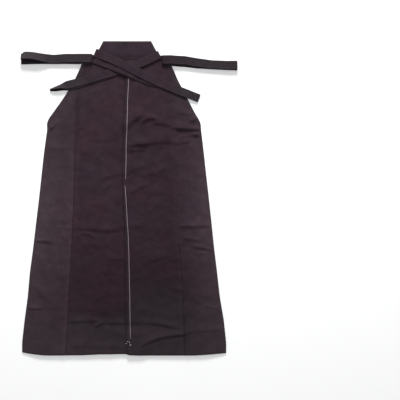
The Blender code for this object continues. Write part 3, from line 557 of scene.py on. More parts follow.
def back_wall(name, x, rows, above, tone):
    """One back width from its columns: it rests so far above the lowest layer, is thicker where
    its hem and its slit edge are turned in, and keeps its weave upright."""
    y = shaped_y(x, rows)
    slit = 1 - ease((inset_from_sides(x, rows) - SLIT_TURN) / 2.5)
    turned = TURNED_IN * np.maximum(at_hem(rows), slit * ease((rows - SLIT_END_Y) / 12.0))
    piece = shell(
        name, as_points(x, y, rest_level(x, y) + above + turned), THICK / 2 + turned, as_points(x, y),
        trouser_cotton, tone, fading(x, y),
    )
    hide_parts(name)
    return piece


def depth(name, y):
    """Depth of colour down one line: waist + knee exp(-((y - knee's y) / reach)^2), less the same
    for the shin."""
    waist, knee, shin = DEPTHS[name]
    return waist + stripe(y, knee, KNEE_Y, KNEE_REACH) - stripe(y, shin, SHIN_Y, SHIN_REACH)


def greying(name, y):
    """How greyed one width is: its own grey down the leg, growing to the full at the hem."""
    leg, start, length = GREYS[name]
    return leg + (1.0 - leg) * ease((start - y) / length)


def fading(x, y):
    """How greyed the cloth is: most at the hem, up to an uneven line, and along the outer edges."""
    seams = {"inner_left": along("left_seam", y), "inner_right": 0.0, "right": along("right_seam", y)}
    uneven_y = y + 9.0 * np.sin(x / 23.0) + 6.0 * np.sin(x / 11.0 + 1.0)
    grey = greying("left", uneven_y)
    for name, start in seams.items():
        grey = grey + (greying(name, uneven_y) - grey) * ease((x - start) / 24.0 + 0.5)
    return np.clip(grey + fringe(inset_from_sides(x, y), 0.55, 40.0), 0.0, 1.0)


def leg_tone(x, y, inner):
    """Depth of colour: even in the middle and paler towards the outer edges, with a painted
    highlight along the raised seam edges and painted shade beside the seams and where cloth turns under."""
    left = np.abs(x - along("left_seam", y))
    right = np.abs(x - along("right_seam", y))
    share = ease((x + 60.0) / 90.0)
    tone = depth("inner_left", y) * (1 - share) + depth("inner_right", y) * share
    low = ease((THIGH_Y - y) / 50.0)
    hem = ease((HEM_SHADE_Y - y) / 60.0)
    if inner:
        tone = tone + (depth("seam", y) - tone) * fringe(left, 0.3 + 0.3 * hem, 10.0 + 30.0 * hem)
        # Painted shade beside the left seam, beside the right seam towards the hem, and a painted shadow
        # along the centre fold where the cloth turns under.
        dark = stripe(left, 0.2 * (1 - low), 7.0, 7.0) + fringe(left, 0.12 * low, 6.0)
        dark = dark + fringe(right, 0.24 * hem, 6.0) + fringe(np.abs(x - along("fold", y) - 1.0), 0.42, 3.5)
        # A painted highlight along the raised edges beside both seams, and on the right seam's very rim above
        # the calf.
        raised = stripe(left, 0.12 * low * (1 - ease((LEFT_HIGHLIGHT_END - y) / 60.0)), 10.0, 7.0)
        raised = raised + stripe(right, 0.12 * ease((RIGHT_HIGHLIGHT_Y - y) / 40.0), 8.0 + 5.0 * hem, 5.0)
        raised = raised + fringe(right, 0.3 * ease((y - RIGHT_HIGHLIGHT_END) / 60.0), 1.5)
        tone = tone * (1 - dark + raised)
    else:
        reach = left / (along("left_seam", y) - along("left", y))
        # Painted shade beside the left seam above the thigh.
        near = depth("seam", y) * (1 - fringe(left, 0.2 * (1 - low), 12.0))
        pale = near + (depth("left_edge", y) - near) * np.clip(reach, 0, 1) ** 1.5
        reach = right / (along("right", y) - along("right_seam", y))
        edge = tone + (depth("right_edge", y) - tone) * np.clip(reach, 0, 1) ** 0.9
        tone = np.where(x < 0, pale, edge)
        # A painted highlight beside the left seam and, above the hem, beside the right one; painted shade
        # beside the right seam towards the hem; a painted highlight on both seam rims.
        seam_light_and_shade = stripe(left, 0.12 * low, 7.0, 8.0) + fringe(right, 0.12 * (low - hem) - 0.3 * hem, 4.0)
        tone = tone * (1 + seam_light_and_shade + fringe(np.minimum(left, right), 0.4, 1.5))
    for at_x, at_y, wide, high, amount in zip(*PATCHES.values()):
        tone = tone * (1 + stripe(x, amount, at_x, wide) * stripe(y, 1.0, at_y, high))
    return tone


back_rows = spread(np.array(WAIST_Y), np.array(HEM_Y), BACK_ROWS)[:, None]
left_edge, left_seam, fold, right_seam, right_edge = (
    along(name, back_rows[:, 0]) for name in ("left", "left_seam", "fold", "right_seam", "right")
)
for name, start, stop, seam, area in (
    ("back_left_outer", left_edge, left_seam - SEAM / 2, left_seam, 0.109),
    ("back_right_outer", right_seam + SEAM / 2, right_edge, right_seam, 0.101),
):
    x = spread(start, stop, OUTER_COLUMNS)
    height = 0.35 + 0.75 * ease((260.0 - back_rows) / 200.0)
    lift = seam_rise(x - seam[:, None], 1.0, 8.0) * height
    tone = leg_tone(x, shaped_y(x, back_rows), False)
    piece = back_wall(name, x, back_rows, STACK / 2 + lift, tone)

x = spread(left_seam + SEAM / 2, fold + UNDERLAP, INNER_COLUMNS)
dip = seam_rise(x - left_seam[:, None], 0.35, 6.0) * ease(x - left_seam[:, None])
piece = back_wall("back_left_inner", x, back_rows, STACK / 2 - dip, leg_tone(x, back_rows, True))

# The right inner width starts under the fold, turns over it and runs out to its seam.
low, high = STACK / 2 + PITCH, STACK / 2 + 2 * PITCH
start, turn_in = as_points(fold + RETURN_WIDTH, low), as_points(fold + NOSE, low)
share = np.append(np.linspace(0.0, 1.0, FACE_COLUMNS), 1.0)
rim = np.append(np.zeros(FACE_COLUMNS), RIM)
face_x = (fold + NOSE)[:, None] + (right_seam - SEAM / 2 - RIM - fold - NOSE)[:, None] * share + rim
path = np.concatenate([
    start[:, None], run(start - np.array([RIM, 0.0]), turn_in, 10),
    half_turn(turn_in, as_points(fold + NOSE, high), 6, -1.0),
    as_points(face_x, STACK / 2 + 2 * PITCH * overlap(face_x, back_rows)),
], axis=1)
x = path[..., 0]
y = shaped_y(x, back_rows)
off = right_seam[:, None] - x
dip = seam_rise(off, 0.35, 6.0) * ease(off) * (path[..., 1] < low)
piece = carried(
    "back_right_inner", path, 1.0, y, rest_level(x, y) + path[..., 1] - dip,
    THICK / 2 + 0.3 * TURNED_IN * at_hem(back_rows), leg_tone(x, y, True), fading(x, y),
)


# Thread. The hems, slits and the fold down the centre are sewn with dull mauve thread. A pale
# basting thread, put in by the tailor to keep the fold until it is worn, runs beside it.
THREAD, BASTING, KNOT = 0.42, 0.72, 0.9
# Stitches: the step from one to the next, how long each shows and, if it isn't the usual, its
# thread's half thickness.
FOLD_STITCH, SLIT_STITCH, HEM_STITCH, BAR_STITCH = (4.2, 2.9), (4.4, 2.9), (8.5, 2.2), (2.2, 1.8, 0.6)
BASTING_RUNS = [
    table("x y", [(-1, 412), (-4.6, 336), (-6.8, 250), (-10.2, 172), (-9.8, 122), (-12.6, 61.2)]),
    table("x y", [(-14.8, 47.6), (-10.2, -6), (-6.4, -70), (-2.4, -140), (-0.2, -206), (4.6, -478)]),
]
KNOTS = [
    (5.6, -497.5, 5.0, 0.6), (-4.5, -486.0, 3.5, -0.5), (-9.0, -493.0, 3.0, 0.3), (2.0, -488.5, 3.0, 1.2),
]
FOLD_ROWS, SLIT_ROW, HEM_ROW = (3.0, 8.5), 6.0, HEM_TURN - 3.0
FOLD_SEWN, SLIT_START_Y = (462.0, -528.0), 446.0
HEM_RUNS = ((-358.0, -220.5), (-217.0, -9.0), (-3.0, 187.0), (191.0, 324.0))
TOP_CLOTH = STACK / 2 + THICK / 2


def sewing_thread(name, colour, rough):
    """Spun cotton thread, dyed and unwaxed: a soft, even colour with a fine twist."""
    material = bpy.data.materials.new(name)
    material.use_nodes = True
    tree = material.node_tree
    shader = tree.nodes["Principled BSDF"]
    place = node(tree, "TexCoord").outputs["Object"]
    twist = node(tree, "TexNoise", {"Vector": place, "Scale": 900.0, "Detail": 2.0}).outputs["Fac"]
    shade = node(tree, "MapRange", {"Value": twist, "To Min": 0.75, "To Max": 1.2}).outputs[0]
    colour = node(tree, "VectorMath", {0: linear(colour)[:3], "Scale": shade}, operation="SCALE")
    relief = node(tree, "Bump", {"Height": twist, "Strength": 0.4, "Distance": 0.3 * MM})
    tree.links.new(colour.outputs[0], shader.inputs["Base Color"])
    tree.links.new(relief.outputs[0], shader.inputs["Normal"])
    shader.inputs["Roughness"].default_value = rough
    shader.inputs["Sheen Weight"].default_value = 0.2
    return material


mauve_thread = sewing_thread("spun_cotton_thread_mauve", "#41363e", 0.75)
pale_thread = sewing_thread("spun_cotton_basting_thread", "#a99ba3", 0.7)


def even_steps(path, step):
    """Points at equal steps along a path."""
    length = travelled(path)
    places = np.linspace(0.0, length[-1], max(2, round(length[-1] / step) + 1))
    return np.stack([np.interp(places, length, path[:, k]) for k in range(path.shape[1])], axis=-1)


def stitch_row(path, step, length, radius=THREAD):
    """Points and faces of one row: each stitch is a four-sided lozenge along the path."""
    marks = even_steps(path, step)
    centre = ((marks[:-1] + marks[1:]) / 2)[:, None]
    ahead = unit(np.diff(marks, axis=0))
    beside = np.cross(ahead, (0.0, 0.0, 1.0))
    above = np.cross(beside, ahead)[:, None] * radius
    angle = np.radians([0.0, 90.0, 180.0, 270.0])[None, :, None]
    ring = beside[:, None] * np.cos(angle) * radius + above * np.sin(angle)
    reach = ahead[:, None] * length / 2
    points = np.concatenate([
        centre - reach - above, centre - reach * 0.6 + ring, centre + reach * 0.6 + ring,
        centre + reach - above,
    ], axis=1)
    one = []
    for k in range(4):
        after = (k + 1) % 4
        one += [(0, 1 + after, 1 + k), (1 + k, 1 + after, 5 + after)]
        one += [(1 + k, 5 + after, 5 + k), (9, 5 + k, 5 + after)]
    faces = np.array(one)[None] + 10 * np.arange(len(points))[:, None, None]
    return points.reshape(-1, 3), faces.reshape(-1, 3)


def stitches(name, rows):
    """One piece from several rows of stitches."""
    counts = np.cumsum([0] + [len(points) for points, _ in rows])
    points = np.concatenate([points for points, _ in rows])
    faces = np.concatenate([faces + count for (_, faces), count in zip(rows, counts)])
    return add_mesh(name, points, faces.tolist(), mauve_thread)


def tube(name, path, radius, sides=8):
    """A round thread along a path: rings square to it, each end drawn in to a point."""
    ahead = unit(np.gradient(path, axis=0))
    beside = unit(np.cross(ahead, (0.0, 0.0, 1.0)))
    above = np.cross(beside, ahead)
    angle = np.linspace(0.0, 2 * np.pi, sides, endpoint=False)[None, :, None]
    from_end = np.minimum(np.arange(len(path)), np.arange(len(path))[::-1])
    width = radius * np.minimum(1.0, from_end / 2.0 + 0.25)[:, None, None]
    rings = path[:, None] + width * (beside[:, None] * np.cos(angle) + above[:, None] * np.sin(angle))
    points = np.concatenate([rings.reshape(-1, 3), path[:1], path[-1:]])
    ring_start = np.arange(len(path) - 1)[:, None] * sides
    first = (ring_start + np.arange(sides)).ravel()
    after = (ring_start + (np.arange(sides) + 1) % sides).ravel()
    faces = np.stack([first + sides, after + sides, after, first], axis=-1).tolist()
    last = (len(path) - 1) * sides
    for k in range(sides):
        following = (k + 1) % sides
        faces += [(len(points) - 2, following, k), (len(points) - 1, last + k, last + following)]
    return add_mesh(name, points, faces, pale_thread)


def back_top(x, y):
    """Upper face of the back, and zero beyond its outline."""
    here = (inset_from_sides(x, y) > -1) & (y < shaped_y(x, WAIST_Y) + 1)
    raised = 2 * PITCH * overlap(x, y) * (x > along("fold", y) + 0.5)
    return np.where(here, rest_level(x, y) + TOP_CLOTH + raised + 2 * TURNED_IN * at_hem(y), 0.0)


def laid_line(x, y, lift):
    """A line on the upper face of the back."""
    return as_points(x, y, back_top(x, y) + lift)


down = np.linspace(*FOLD_SEWN, 240)
slit = np.linspace(SLIT_START_Y, SLIT_END_Y, 60)
rows = [stitch_row(laid_line(along("fold", down) + off, down, 0.05), *FOLD_STITCH) for off in FOLD_ROWS]
for side, inwards in (("left", 1.0), ("right", -1.0)):
    x = along(side, slit) + inwards * SLIT_ROW
    rows.append(stitch_row(laid_line(x, slit, 0.05), *SLIT_STITCH))
for start, stop in HEM_RUNS:
    x = np.linspace(start, stop, 60)
    rows.append(stitch_row(laid_line(x, shaped_y(x, FRONT_HEM_Y + HEM_ROW), 0.0), *HEM_STITCH))
# A bar of close stitches ends each slit.
for side, ends in (("left", (2.0, 12.0)), ("right", (-12.0, -2.0))):
    y = np.full(2, SLIT_END_Y - 3.0)
    x = along(side, y) + ends
    rows.append(stitch_row(laid_line(x, y + (-2.0, 2.0), 0.1), *BAR_STITCH))
stitches("back_stitching", rows)

for k, route in enumerate(BASTING_RUNS):
    x, y = even_steps(as_points(route["x"], route["y"]), 9.0).T
    path = laid_line(x + 0.25 * np.sin(y / 31.0) + 0.15 * np.sin(y / 11.0), y, BASTING * 0.7)
    path[[0, -1], 2] -= 1.2
    tube("basting_thread_%d" % (k + 1), path, BASTING)
for k, (x, y, size, turn) in enumerate(KNOTS):
    angle = np.linspace(0.0, 1.6 * np.pi, 12) + turn
    path = laid_line(x + size * 0.5 * np.cos(angle), y + size * 0.4 * np.sin(angle), 0.8)
    path[:, 2] += 0.8 * np.sin(np.linspace(0, np.pi, 12))
    tube("basting_knot_%d" % (k + 1), path, KNOT, 6)


# Back board. A stiff trapezoid of pasted card is covered with the trouser cotton, stitched along
# its edges, and sewn to the top of the back. It leans from its top edge up onto the waistband.
BOARD_TOP_Y, BOARD_BASE_Y, BOARD_CENTRE_X = 534.3, 468.9, -7.3
BOARD_LONG = BOARD_TOP_Y - BOARD_BASE_Y
BOARD_TOP_HALF, BOARD_BASE_HALF = 81.5, 115.7
BOARD_THICK, BOARD_TILT, BOARD_CROWN = 3.6, 0.073, 0.6
BOARD_FOOT, BOARD_FOOT_EASE = 24.0, 0.7
EDGE_ROUND, EDGE_ROLL, BOARD_ROW, BOARD_STITCH, BOARD_GREY = 2.2, 3.2, 6.0, (5.0, 3.0), 0.2


def board_floor(y):
    """Underside of the board."""
    return BOARD_TILT * (BOARD_TOP_Y - y)


def board_thickness(y):
    """Thickness of the board, eased down towards its base."""
    return BOARD_THICK * (1 - BOARD_FOOT_EASE * ease((BOARD_BASE_Y + BOARD_FOOT - y) / BOARD_FOOT))


def board_half(y):
    """Half the board's width at any height."""
    return BOARD_TOP_HALF + (BOARD_TOP_Y - y) / BOARD_LONG * (BOARD_BASE_HALF - BOARD_TOP_HALF)


def eased_shares(size, parts):
    """Places across a board: close together where its edge rounds over, then even."""
    near = EDGE_ROUND * np.array([0.0, 0.06, 0.2, 0.45, 0.75, 1.0]) / size
    return np.concatenate([near, np.linspace(near[-1], 1 - near[-1], parts + 1)[1:-1], 1 - near[::-1]])


def rounded(distance, reach):
    """A quarter circle from nothing at an edge to full: sqrt(1 - (1 - distance / reach)^2)."""
    return np.sqrt(1 - (1 - np.clip(distance / reach, 0.0, 1.0)) ** 2)


down = eased_shares(BOARD_LONG, 24)[:, None]
across = eased_shares(2 * BOARD_TOP_HALF, 60)[None, :] * 2 - 1
y = BOARD_TOP_Y - down * BOARD_LONG + 0 * across
half = board_half(y)
x = BOARD_CENTRE_X + across * half
edge = np.minimum((1 - np.abs(across)) * half, np.minimum(down, 1 - down) * BOARD_LONG)
crown = BOARD_CROWN * (1 - across ** 2) * (1 - (2 * down - 1) ** 2)
drape = 0.25 * np.sin(x / 17.0 + y / 29.0) * ease(edge / 12.0)
thick = board_thickness(y) + crown + drape + stripe(edge, 0.3, EDGE_ROLL, 1.6)
thick = thick * rounded(edge, EDGE_ROUND)
# Paler along the rubbed edge roll, and painted shade in the middle of the foot where the board meets the
# back.
wear_and_shade = 1 + stripe(edge, 0.2, EDGE_ROLL, 1.8) - stripe(x, 0.2, -2.0, 26.0) * stripe(y, 1.0, 466.0, 16.0)
board_cotton = dyed_cotton("dyed_cotton_over_card", "#31222a", "#2e232b", "#302a2f")
board = shell(
    "back_board", as_points(x, y, board_floor(y) + thick / 2), thick / 2, as_points(x, y), board_cotton,
    wear_and_shade, BOARD_GREY,
)
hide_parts("back_board")


def board_top(x, y):
    """Upper face of the board, and zero beyond it."""
    here = (np.abs(x - BOARD_CENTRE_X) < board_half(y) + 2) & (y < BOARD_TOP_Y) & (y > BOARD_BASE_Y - 2)
    return np.where(here, board_floor(y) + board_thickness(y) + BOARD_CROWN + 0.3, 0.0)


side_y = np.linspace(BOARD_TOP_Y - BOARD_ROW, BOARD_BASE_Y + 4.0, 20)
reach = board_half(side_y) - BOARD_ROW
top_x = BOARD_CENTRE_X + np.linspace(-BOARD_TOP_HALF + 4, BOARD_TOP_HALF - 4, 30)
rows = []
for x, y, sunk in (
    (BOARD_CENTRE_X - reach, side_y, 0.5), (BOARD_CENTRE_X + reach, side_y, 0.5),
    (top_x, np.full(30, BOARD_TOP_Y - BOARD_ROW), 0.55),
):
    rows.append(stitch_row(as_points(x, y, board_top(x, y) - sunk), *BOARD_STITCH))
stitches("board_stitching", rows)


# Front ties. Each is a long flat band of the cotton, folded to and fro in eight layers and laid out
# from the waist. The left one's outer loops have twisted open, so its top layers stand on edge.
LAYERS, LAYER_POINTS = 8, 40
FRONT_TIE_LEFT = table("x y width height", [
    (-126, 472.8, 32, 11.6), (-160.6, 472.4, 33, 12.6), (-178, 472.4, 33, 13.2),
    (-215, 472.6, 32.5, 13), (-254, 471, 30, 10.5), (-300, 473.3, 33.5, 12), (-336, 475.2, 38.5, 12),
    (-367, 475.2, 40, 12),
])
FRONT_TIE_RIGHT = table("x y width height", [
    (111.5, 467.6, 33, 11.6), (141, 467, 35, 12.8), (158, 465.8, 35, 13.4), (190, 463.8, 35.5, 13),
    (230, 457.6, 33.5, 12), (280, 452.8, 29, 11), (330, 450.8, 29.5, 12), (367, 450.2, 32, 12.6),
])
FRONT_TIE_THICK, FRONT_TIE_WIDTH = 1.0, 30.0
WAIST_TOP = WAIST_LEVEL + STACK + 0.35
OPEN_ROLL, OPEN_LENGTH, CORNER_START, CORNER_DROP, OPEN_SHADE = 27.0, 62.0, 88.0, 8.0, 0.35
EDGE_COLUMNS, EDGE_STITCH = (3, -4), (4.6, 3.0, 0.36)


def bend_points(start, stop, bulge, count=5):
    """Points between two layers' ends: a half circle stretched out by the bulge."""
    angle = np.radians(np.linspace(-72.0, 72.0, count))[:, None]
    return (start + stop) / 2 + (stop - start) / 2 * np.sin(angle) + bulge * np.cos(angle)


def band_piece(name, spine, across, half_width, thick, tone, dust):
    """A flat band along a spine: across each station the cloth is thick in the middle, rounds over
    at both edges, and its two ends round over the same way."""
    near = np.array([0.0, 0.012, 0.05, 0.11])
    share = np.concatenate([near, np.linspace(0.2, 0.8, 9), 1 - near[::-1]]) * 2 - 1
    up = unit(np.cross(unit(np.gradient(spine, axis=0)), across))
    half_width = half_width[:, None]
    middle = spine[:, None] + across[:, None] * (half_width * share)[..., None]
    length = travelled(spine)[:, None]
    edge = (1 - np.abs(share)) * half_width
    hemmed = 0.94 + 0.06 * np.clip(edge / 4.0, 0, 1) + stripe(edge, 0.1, 1.6, 0.9)
    fade = rounded(edge, thick * 0.8) * hemmed * rounded(np.minimum(length, length[-1] - length), 2.0)
    # Both edges are darkened with painted shade; the edge nearest the waist, which faces the lamp, is the
    # darker one, to damp its highlight.
    tone = tone[:, None] * (1 - fringe(edge, np.where(share * across[:, 1:2] > 0, 0.36, 0.12), 1.5))
    piece = shell(
        name, middle, thick / 2 * fade, as_points(length, share * half_width + 300.0), tie_cotton,
        tone, dust[:, None], up[:, None],
    )
    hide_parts(name)
    return piece, middle, up


def edge_rows(middle, rise):
    """The rows of stitches along both edges of a band's upper face."""
    return [stitch_row(middle[:, column] + rise, *EDGE_STITCH) for column in EDGE_COLUMNS]


def folded_stack(sections, inner, outer, opened):
    """The to-and-fro route of a front tie: its spine, directions across, half widths and tone.

    Layers share the stack's height evenly, and sines keep any two from lying quite alike. "opened"
    is where the upper half starts to roll up on its edge nearest the waist, or None if it lies flat.
    """
    sign = np.sign(outer)
    columns = {name: values[np.argsort(sections["x"])] for name, values in sections.items()}
    stretches = []
    for k in range(LAYERS):
        ends = (inner + sign * 1.5 * math.sin(2.3 * k), outer - sign * (1.2 + 1.1 * math.sin(1.9 * k + 1.0)))
        x = np.linspace(*(ends if k % 2 == 0 else ends[::-1]), LAYER_POINTS)
        y, width, height = (np.interp(x, columns["x"], columns[name]) for name in ("y", "width", "height"))
        floor = WAIST_TOP * ease(1 - (np.abs(x) - abs(sections["x"][1]) - 1.5) / 15.0)
        pitch = (height - 0.6 * floor) / LAYERS
        own = np.minimum(width, FRONT_TIE_WIDTH) - 1.4 * abs(math.sin(1.7 * k))
        sway = 0.45 * math.sin(2.1 * k + 0.5) + 0.3 * np.sin(x / 37.0 + k)
        spare = (width - own) / 2
        roll, tone = 0 * x, 1 + 0 * x
        if opened is None:
            centre_y = y + sway + spare * (2.0 * k / (LAYERS - 1) - 1.0)
        elif k >= LAYERS / 2:
            roll = math.radians(OPEN_ROLL) * ease((opened - x) / OPEN_LENGTH)
            drop = CORNER_DROP * ease((opened - CORNER_START - x) / 15.0) ** 2
            centre_y = y + sway + spare - drop / 2
            own = own - drop
        else:
            centre_y = y + sway - spare
            # The lower layers get painted shadow under the upper ones that roll up.
            tone = 1 - OPEN_SHADE * ease((opened - x) / 50.0)
        lean = as_points(0.0, -np.cos(roll), np.sin(roll))
        square = as_points(0.0, np.sin(roll), np.cos(roll))
        hinge = as_points(x, centre_y + own / 2, floor + pitch * LAYERS / 2)
        place = hinge + lean * (own / 2)[:, None] + square * (pitch * (k + 0.5 - LAYERS / 2))[:, None]
        if stretches:
            before, before_across, before_half, _ = stretches[-1]
            outward = sign * (1.0 if k % 2 == 1 else -1.0) * (2.0 if k == LAYERS / 2 else 1.0)
            bend = bend_points(before[-1], place[0], np.array([outward, 0.0, 0.0]))
            mix = np.linspace(0.15, 0.85, len(bend))[:, None]
            turned = unit(before_across[-1] * (1 - mix) + lean[0] * mix)
            narrowed = (before_half[-1] + own[0] / 2) / 2 - 0.4
            stretches.append((bend, turned, np.full(len(bend), narrowed), np.ones(len(bend))))
        stretches.append((place, lean, own / 2, tone))
    return [np.concatenate(part) for part in zip(*stretches)]


# Each tie is greyer, and the right one paler, from a length out from the waist.
for name, sections, inner, outer, opened, near, far, greying_length in (
    ("front_tie_left", FRONT_TIE_LEFT, -126.5, -366.5, -262.0, 1.07, 1.07, 60.0),
    ("front_tie_right", FRONT_TIE_RIGHT, 112.5, 366.5, None, 0.83, 0.98, 180.0),
):
    spine, across, half, tone = folded_stack(sections, inner, outer, opened)
    out = ease((np.abs(spine[:, 0]) - abs(inner)) / greying_length)
    tone = tone * (near + (far - near) * out)
    piece, middle, up = band_piece(
        name, spine, across, half, FRONT_TIE_THICK, tone, 0.25 + 0.65 * out,
    )
    top_layer = slice(1 - LAYER_POINTS, -1)
    rise = np.abs(up[top_layer]) * (FRONT_TIE_THICK / 2 + 0.15)
    stitches(name + "_stitching", edge_rows(middle[top_layer], rise))


# Back ties. Each is a flat band sewn to a side of the board. It turns out from the board's edge,
# folds back over the board, crosses the back and is doubled under itself at its far end.
TIE, GAP, TIE_WIDTH = 1.5, 0.4, 28.0
ROOT_STEP, LAY_STEP, FINE_STEP = 4.0, 18.0, 5.0
STITCH_RISE, END_STITCH = np.array([0.0, 0.0, TIE / 2 + 0.1]), (3.0, 2.0, 0.4)
LEFT_ROOT = table("x y", [(-112.4, 489.8), (-114.2, 490.7)])
LEFT_UPPER = table("x y", [
    (-114.3, 493), (-65.4, 474), (1.5, 441.7), (28.2, 428.3), (83, 400.5), (160, 368.5), (235, 340),
])
LEFT_UNDER = table("x y", [
    (-119, 471.8), (-64, 451), (-6.7, 427.7), (29.4, 412.7), (78, 393.4), (110, 387.8), (235, 340),
])
RIGHT_ROOT = table("x y", [(99.6, 486.2), (101.3, 487.1)])
RIGHT_UPPER = table("x y", [
    (101, 486), (35.2, 456), (-20, 440.9), (-62, 425.2), (-103.5, 413.9), (-160, 396.8), (-214, 383.4),
])
RIGHT_UNDER = table("x y", [
    (101, 486), (35.2, 456), (-20, 439), (-62, 420.8), (-103.5, 408.6), (-160, 391.2), (-212, 379),
])
TIP_UPPER = table("x y half_width roll", [
    (-228, 381, 9.5, 34), (-242.6, 377.2, 7.8, 46), (-256, 373.4, 6.2, 50), (-268.5, 369.6, 2.8, 50),
])
TIP_UNDER = table("x y half_width roll", [
    (-228, 376.4, 10, 6), (-242.6, 372.6, 8.6, 8), (-256, 369, 6.6, 8), (-268, 366.8, 3, 8),
])
TIP_LIFT, TIP_SHADE_X = 1.0, -190.0
BOARD_EDGE_LEVEL, BAND_TOP = 4.65, 4.3
TIE_GREY, TIE_GREY_START, TIE_GREY_LENGTH = 0.7, 120.0, 70.0


def resample(route, step):
    """A route in plan at even steps."""
    return even_steps(as_points(route["x"], route["y"]), step)


def across_of(plan):
    """Unit directions across a route, to the left of its heading."""
    heading = unit(np.gradient(plan, axis=0))
    return as_points(-heading[:, 1], heading[:, 0])


def band_top(x, y):
    """Upper face of the waistband, and zero beyond it."""
    lower, upper = band_edges(x)
    here = (x > BAND_ENDS[0] - 2) & (x < BAND_ENDS[1] + 2) & (y > lower - 2) & (y < upper + 2)
    return np.where(here, BAND_TOP, 0.0)


def lay(plan, covers):
    """Underside heights of a band laid over what is beneath it, kept clear all across its width."""
    across = across_of(plan)
    heading = as_points(across[:, 1], -across[:, 0])
    heights = np.zeros(len(plan))
    for reach in np.linspace(-1.0, 1.0, 7) * (LAY_STEP - 4):
        for offset in np.linspace(-1.0, 1.0, 11) * (TIE_WIDTH / 2 + 3):
            x, y = (plan + reach * heading + offset * across).T
            for cover in covers:
                tops = cover(x, y)
                heights = np.maximum(heights, np.where(tops > 0, tops + GAP, 0.0))
    return heights


def tie_cover(plan, tops):
    """The upper face of a band laid earlier, as heights that are zero away from it."""
    def cover(x, y):
        """The highest of the band's straight pieces over each place."""
        best = np.zeros(x.shape)
        for start, stop, low, high in zip(plan[:-1], plan[1:], tops[:-1], tops[1:]):
            step = stop - start
            length = np.hypot(*step)
            reach = ((x - start[0]) * step[0] + (y - start[1]) * step[1]) / length
            off = np.abs((x - start[0]) * step[1] - (y - start[1]) * step[0]) / length
            near = (reach > -2) & (reach < length + 2) & (off < TIE_WIDTH / 2 + 1)
            top = low + np.clip(reach / length, 0, 1) * (high - low)
            best = np.maximum(best, np.where(near, top, 0.0))
        return best
    return cover


def flat_run(plan, underside, wave=0.0):
    """A laid stretch: spine, directions across and half widths, waved a little along its length."""
    across = across_of(plan)
    spine = as_points(*plan.T, underside + TIE / 2)
    return spine, as_points(*-across.T, 0.0), TIE_WIDTH / 2 + wave * np.sin(plan[:, 0] / 23.0)


def root_run(route):
    """The short stretch in which a tie leaves the board's edge, heading out from it."""
    spine, across, half = flat_run(resample(route, ROOT_STEP), BOARD_EDGE_LEVEL)
    return spine, -across, half


def tip_run(sections, lift):
    """The twisted far end of a layer: it narrows as it rolls up on the edge nearest the hem."""
    plan = as_points(sections["x"], sections["y"])
    roll, half = np.radians(sections["roll"]), sections["half_width"]
    level = across_of(plan)
    across = as_points(-level[:, 0] * np.cos(roll), -level[:, 1] * np.cos(roll), -np.sin(roll))
    height = lift + TIE / 2 * np.cos(roll) + half * np.sin(roll)
    return as_points(*plan.T, height), across, half


def refine(stretch):
    """A stretch taken at fine steps, its heights and widths smoothed between the coarse ones."""
    joined = np.concatenate([stretch[0], stretch[1], stretch[2][:, None]], axis=1)
    reach = travelled(stretch[0])
    places = np.linspace(0.0, reach[-1], max(3, round(reach[-1] / FINE_STEP)))
    fine = np.stack([np.interp(places, reach, column) for column in joined.T], axis=-1)
    for _ in range(3):
        fine[1:-1] = (fine[:-2] + 2 * fine[1:-1] + fine[2:]) / 4
    return fine[:, :3], unit(fine[:, 3:6]), fine[:, 6]


def join(*stretches):
    """Stretches end to end."""
    return tuple(np.concatenate(part) for part in zip(*stretches))


def fold_between(first, second, bulge):
    """The fold from one stretch to the next, standing out past their ends and turning with them."""
    outward = unit(first[0][-1] - first[0][-2])
    spine = bend_points(first[0][-1], second[0][0], bulge * outward, 7)
    mix = np.linspace(0.1, 0.9, 7)[:, None]
    across = unit(first[1][-1] * (1 - mix) + second[1][0] * mix)
    return spine, across, np.full(7, (first[2][-1] + second[2][0]) / 2)


def back_tie(name, root, upper, under, bulges, tone, shadow=0.0):
    """A back tie from its root, over itself, away, and back under itself, with its edge stitching."""
    upper = refine(upper)
    back = tuple(part[::-1] for part in refine(under))
    root_fold, far_fold = fold_between(root, upper, bulges[0]), fold_between(upper, back, bulges[1])
    start = len(root[0]) + len(root_fold[0])
    stop = start + len(upper[0])
    band = join(root, root_fold, upper, far_fold, back)
    x = band[0][:, 0]
    tone = tone * (1 - shadow * (np.arange(len(x)) > stop + 4) * ease((TIP_SHADE_X - x) / 40.0))
    dust = TIE_GREY * ease((np.abs(x) - TIE_GREY_START) / TIE_GREY_LENGTH)
    piece, middle, _ = band_piece(name, *band, TIE, tone, dust)
    return edge_rows(middle[start + 2:stop - 2], STITCH_RISE), middle[start:stop]


covers = [back_top, board_top, band_top]
under_plan, upper_plan = resample(RIGHT_UNDER, LAY_STEP), resample(RIGHT_UPPER, LAY_STEP)
under = lay(under_plan, covers)
upper = under + TIE + GAP
covers += [tie_cover(upper_plan, upper + TIE), tie_cover(under_plan, under + TIE)]
right_under = join([part[1:] for part in flat_run(under_plan, under)], tip_run(TIP_UNDER, 0.0))
right_upper = join(flat_run(upper_plan, upper, 0.3), tip_run(TIP_UPPER, TIE + TIP_LIFT))
rows, _ = back_tie(
    "back_tie_right", root_run(RIGHT_ROOT), right_upper, right_under, (2.2, 1.2), 1.06, 0.55,
)

under_plan, upper_plan = resample(LEFT_UNDER, LAY_STEP), resample(LEFT_UPPER, LAY_STEP)
under = lay(under_plan, covers)
covers.append(tie_cover(under_plan, under + TIE))
upper = lay(upper_plan, covers)
more, top = back_tie(
    "back_tie_left", root_run(LEFT_ROOT), flat_run(upper_plan, upper, 0.3),
    flat_run(under_plan, under), (2.2, 1.6), 1.04,
)
rows += more
rows.append(stitch_row(top[-3, 2:-2] + STITCH_RISE, *END_STITCH))
stitches("back_tie_stitching", rows)


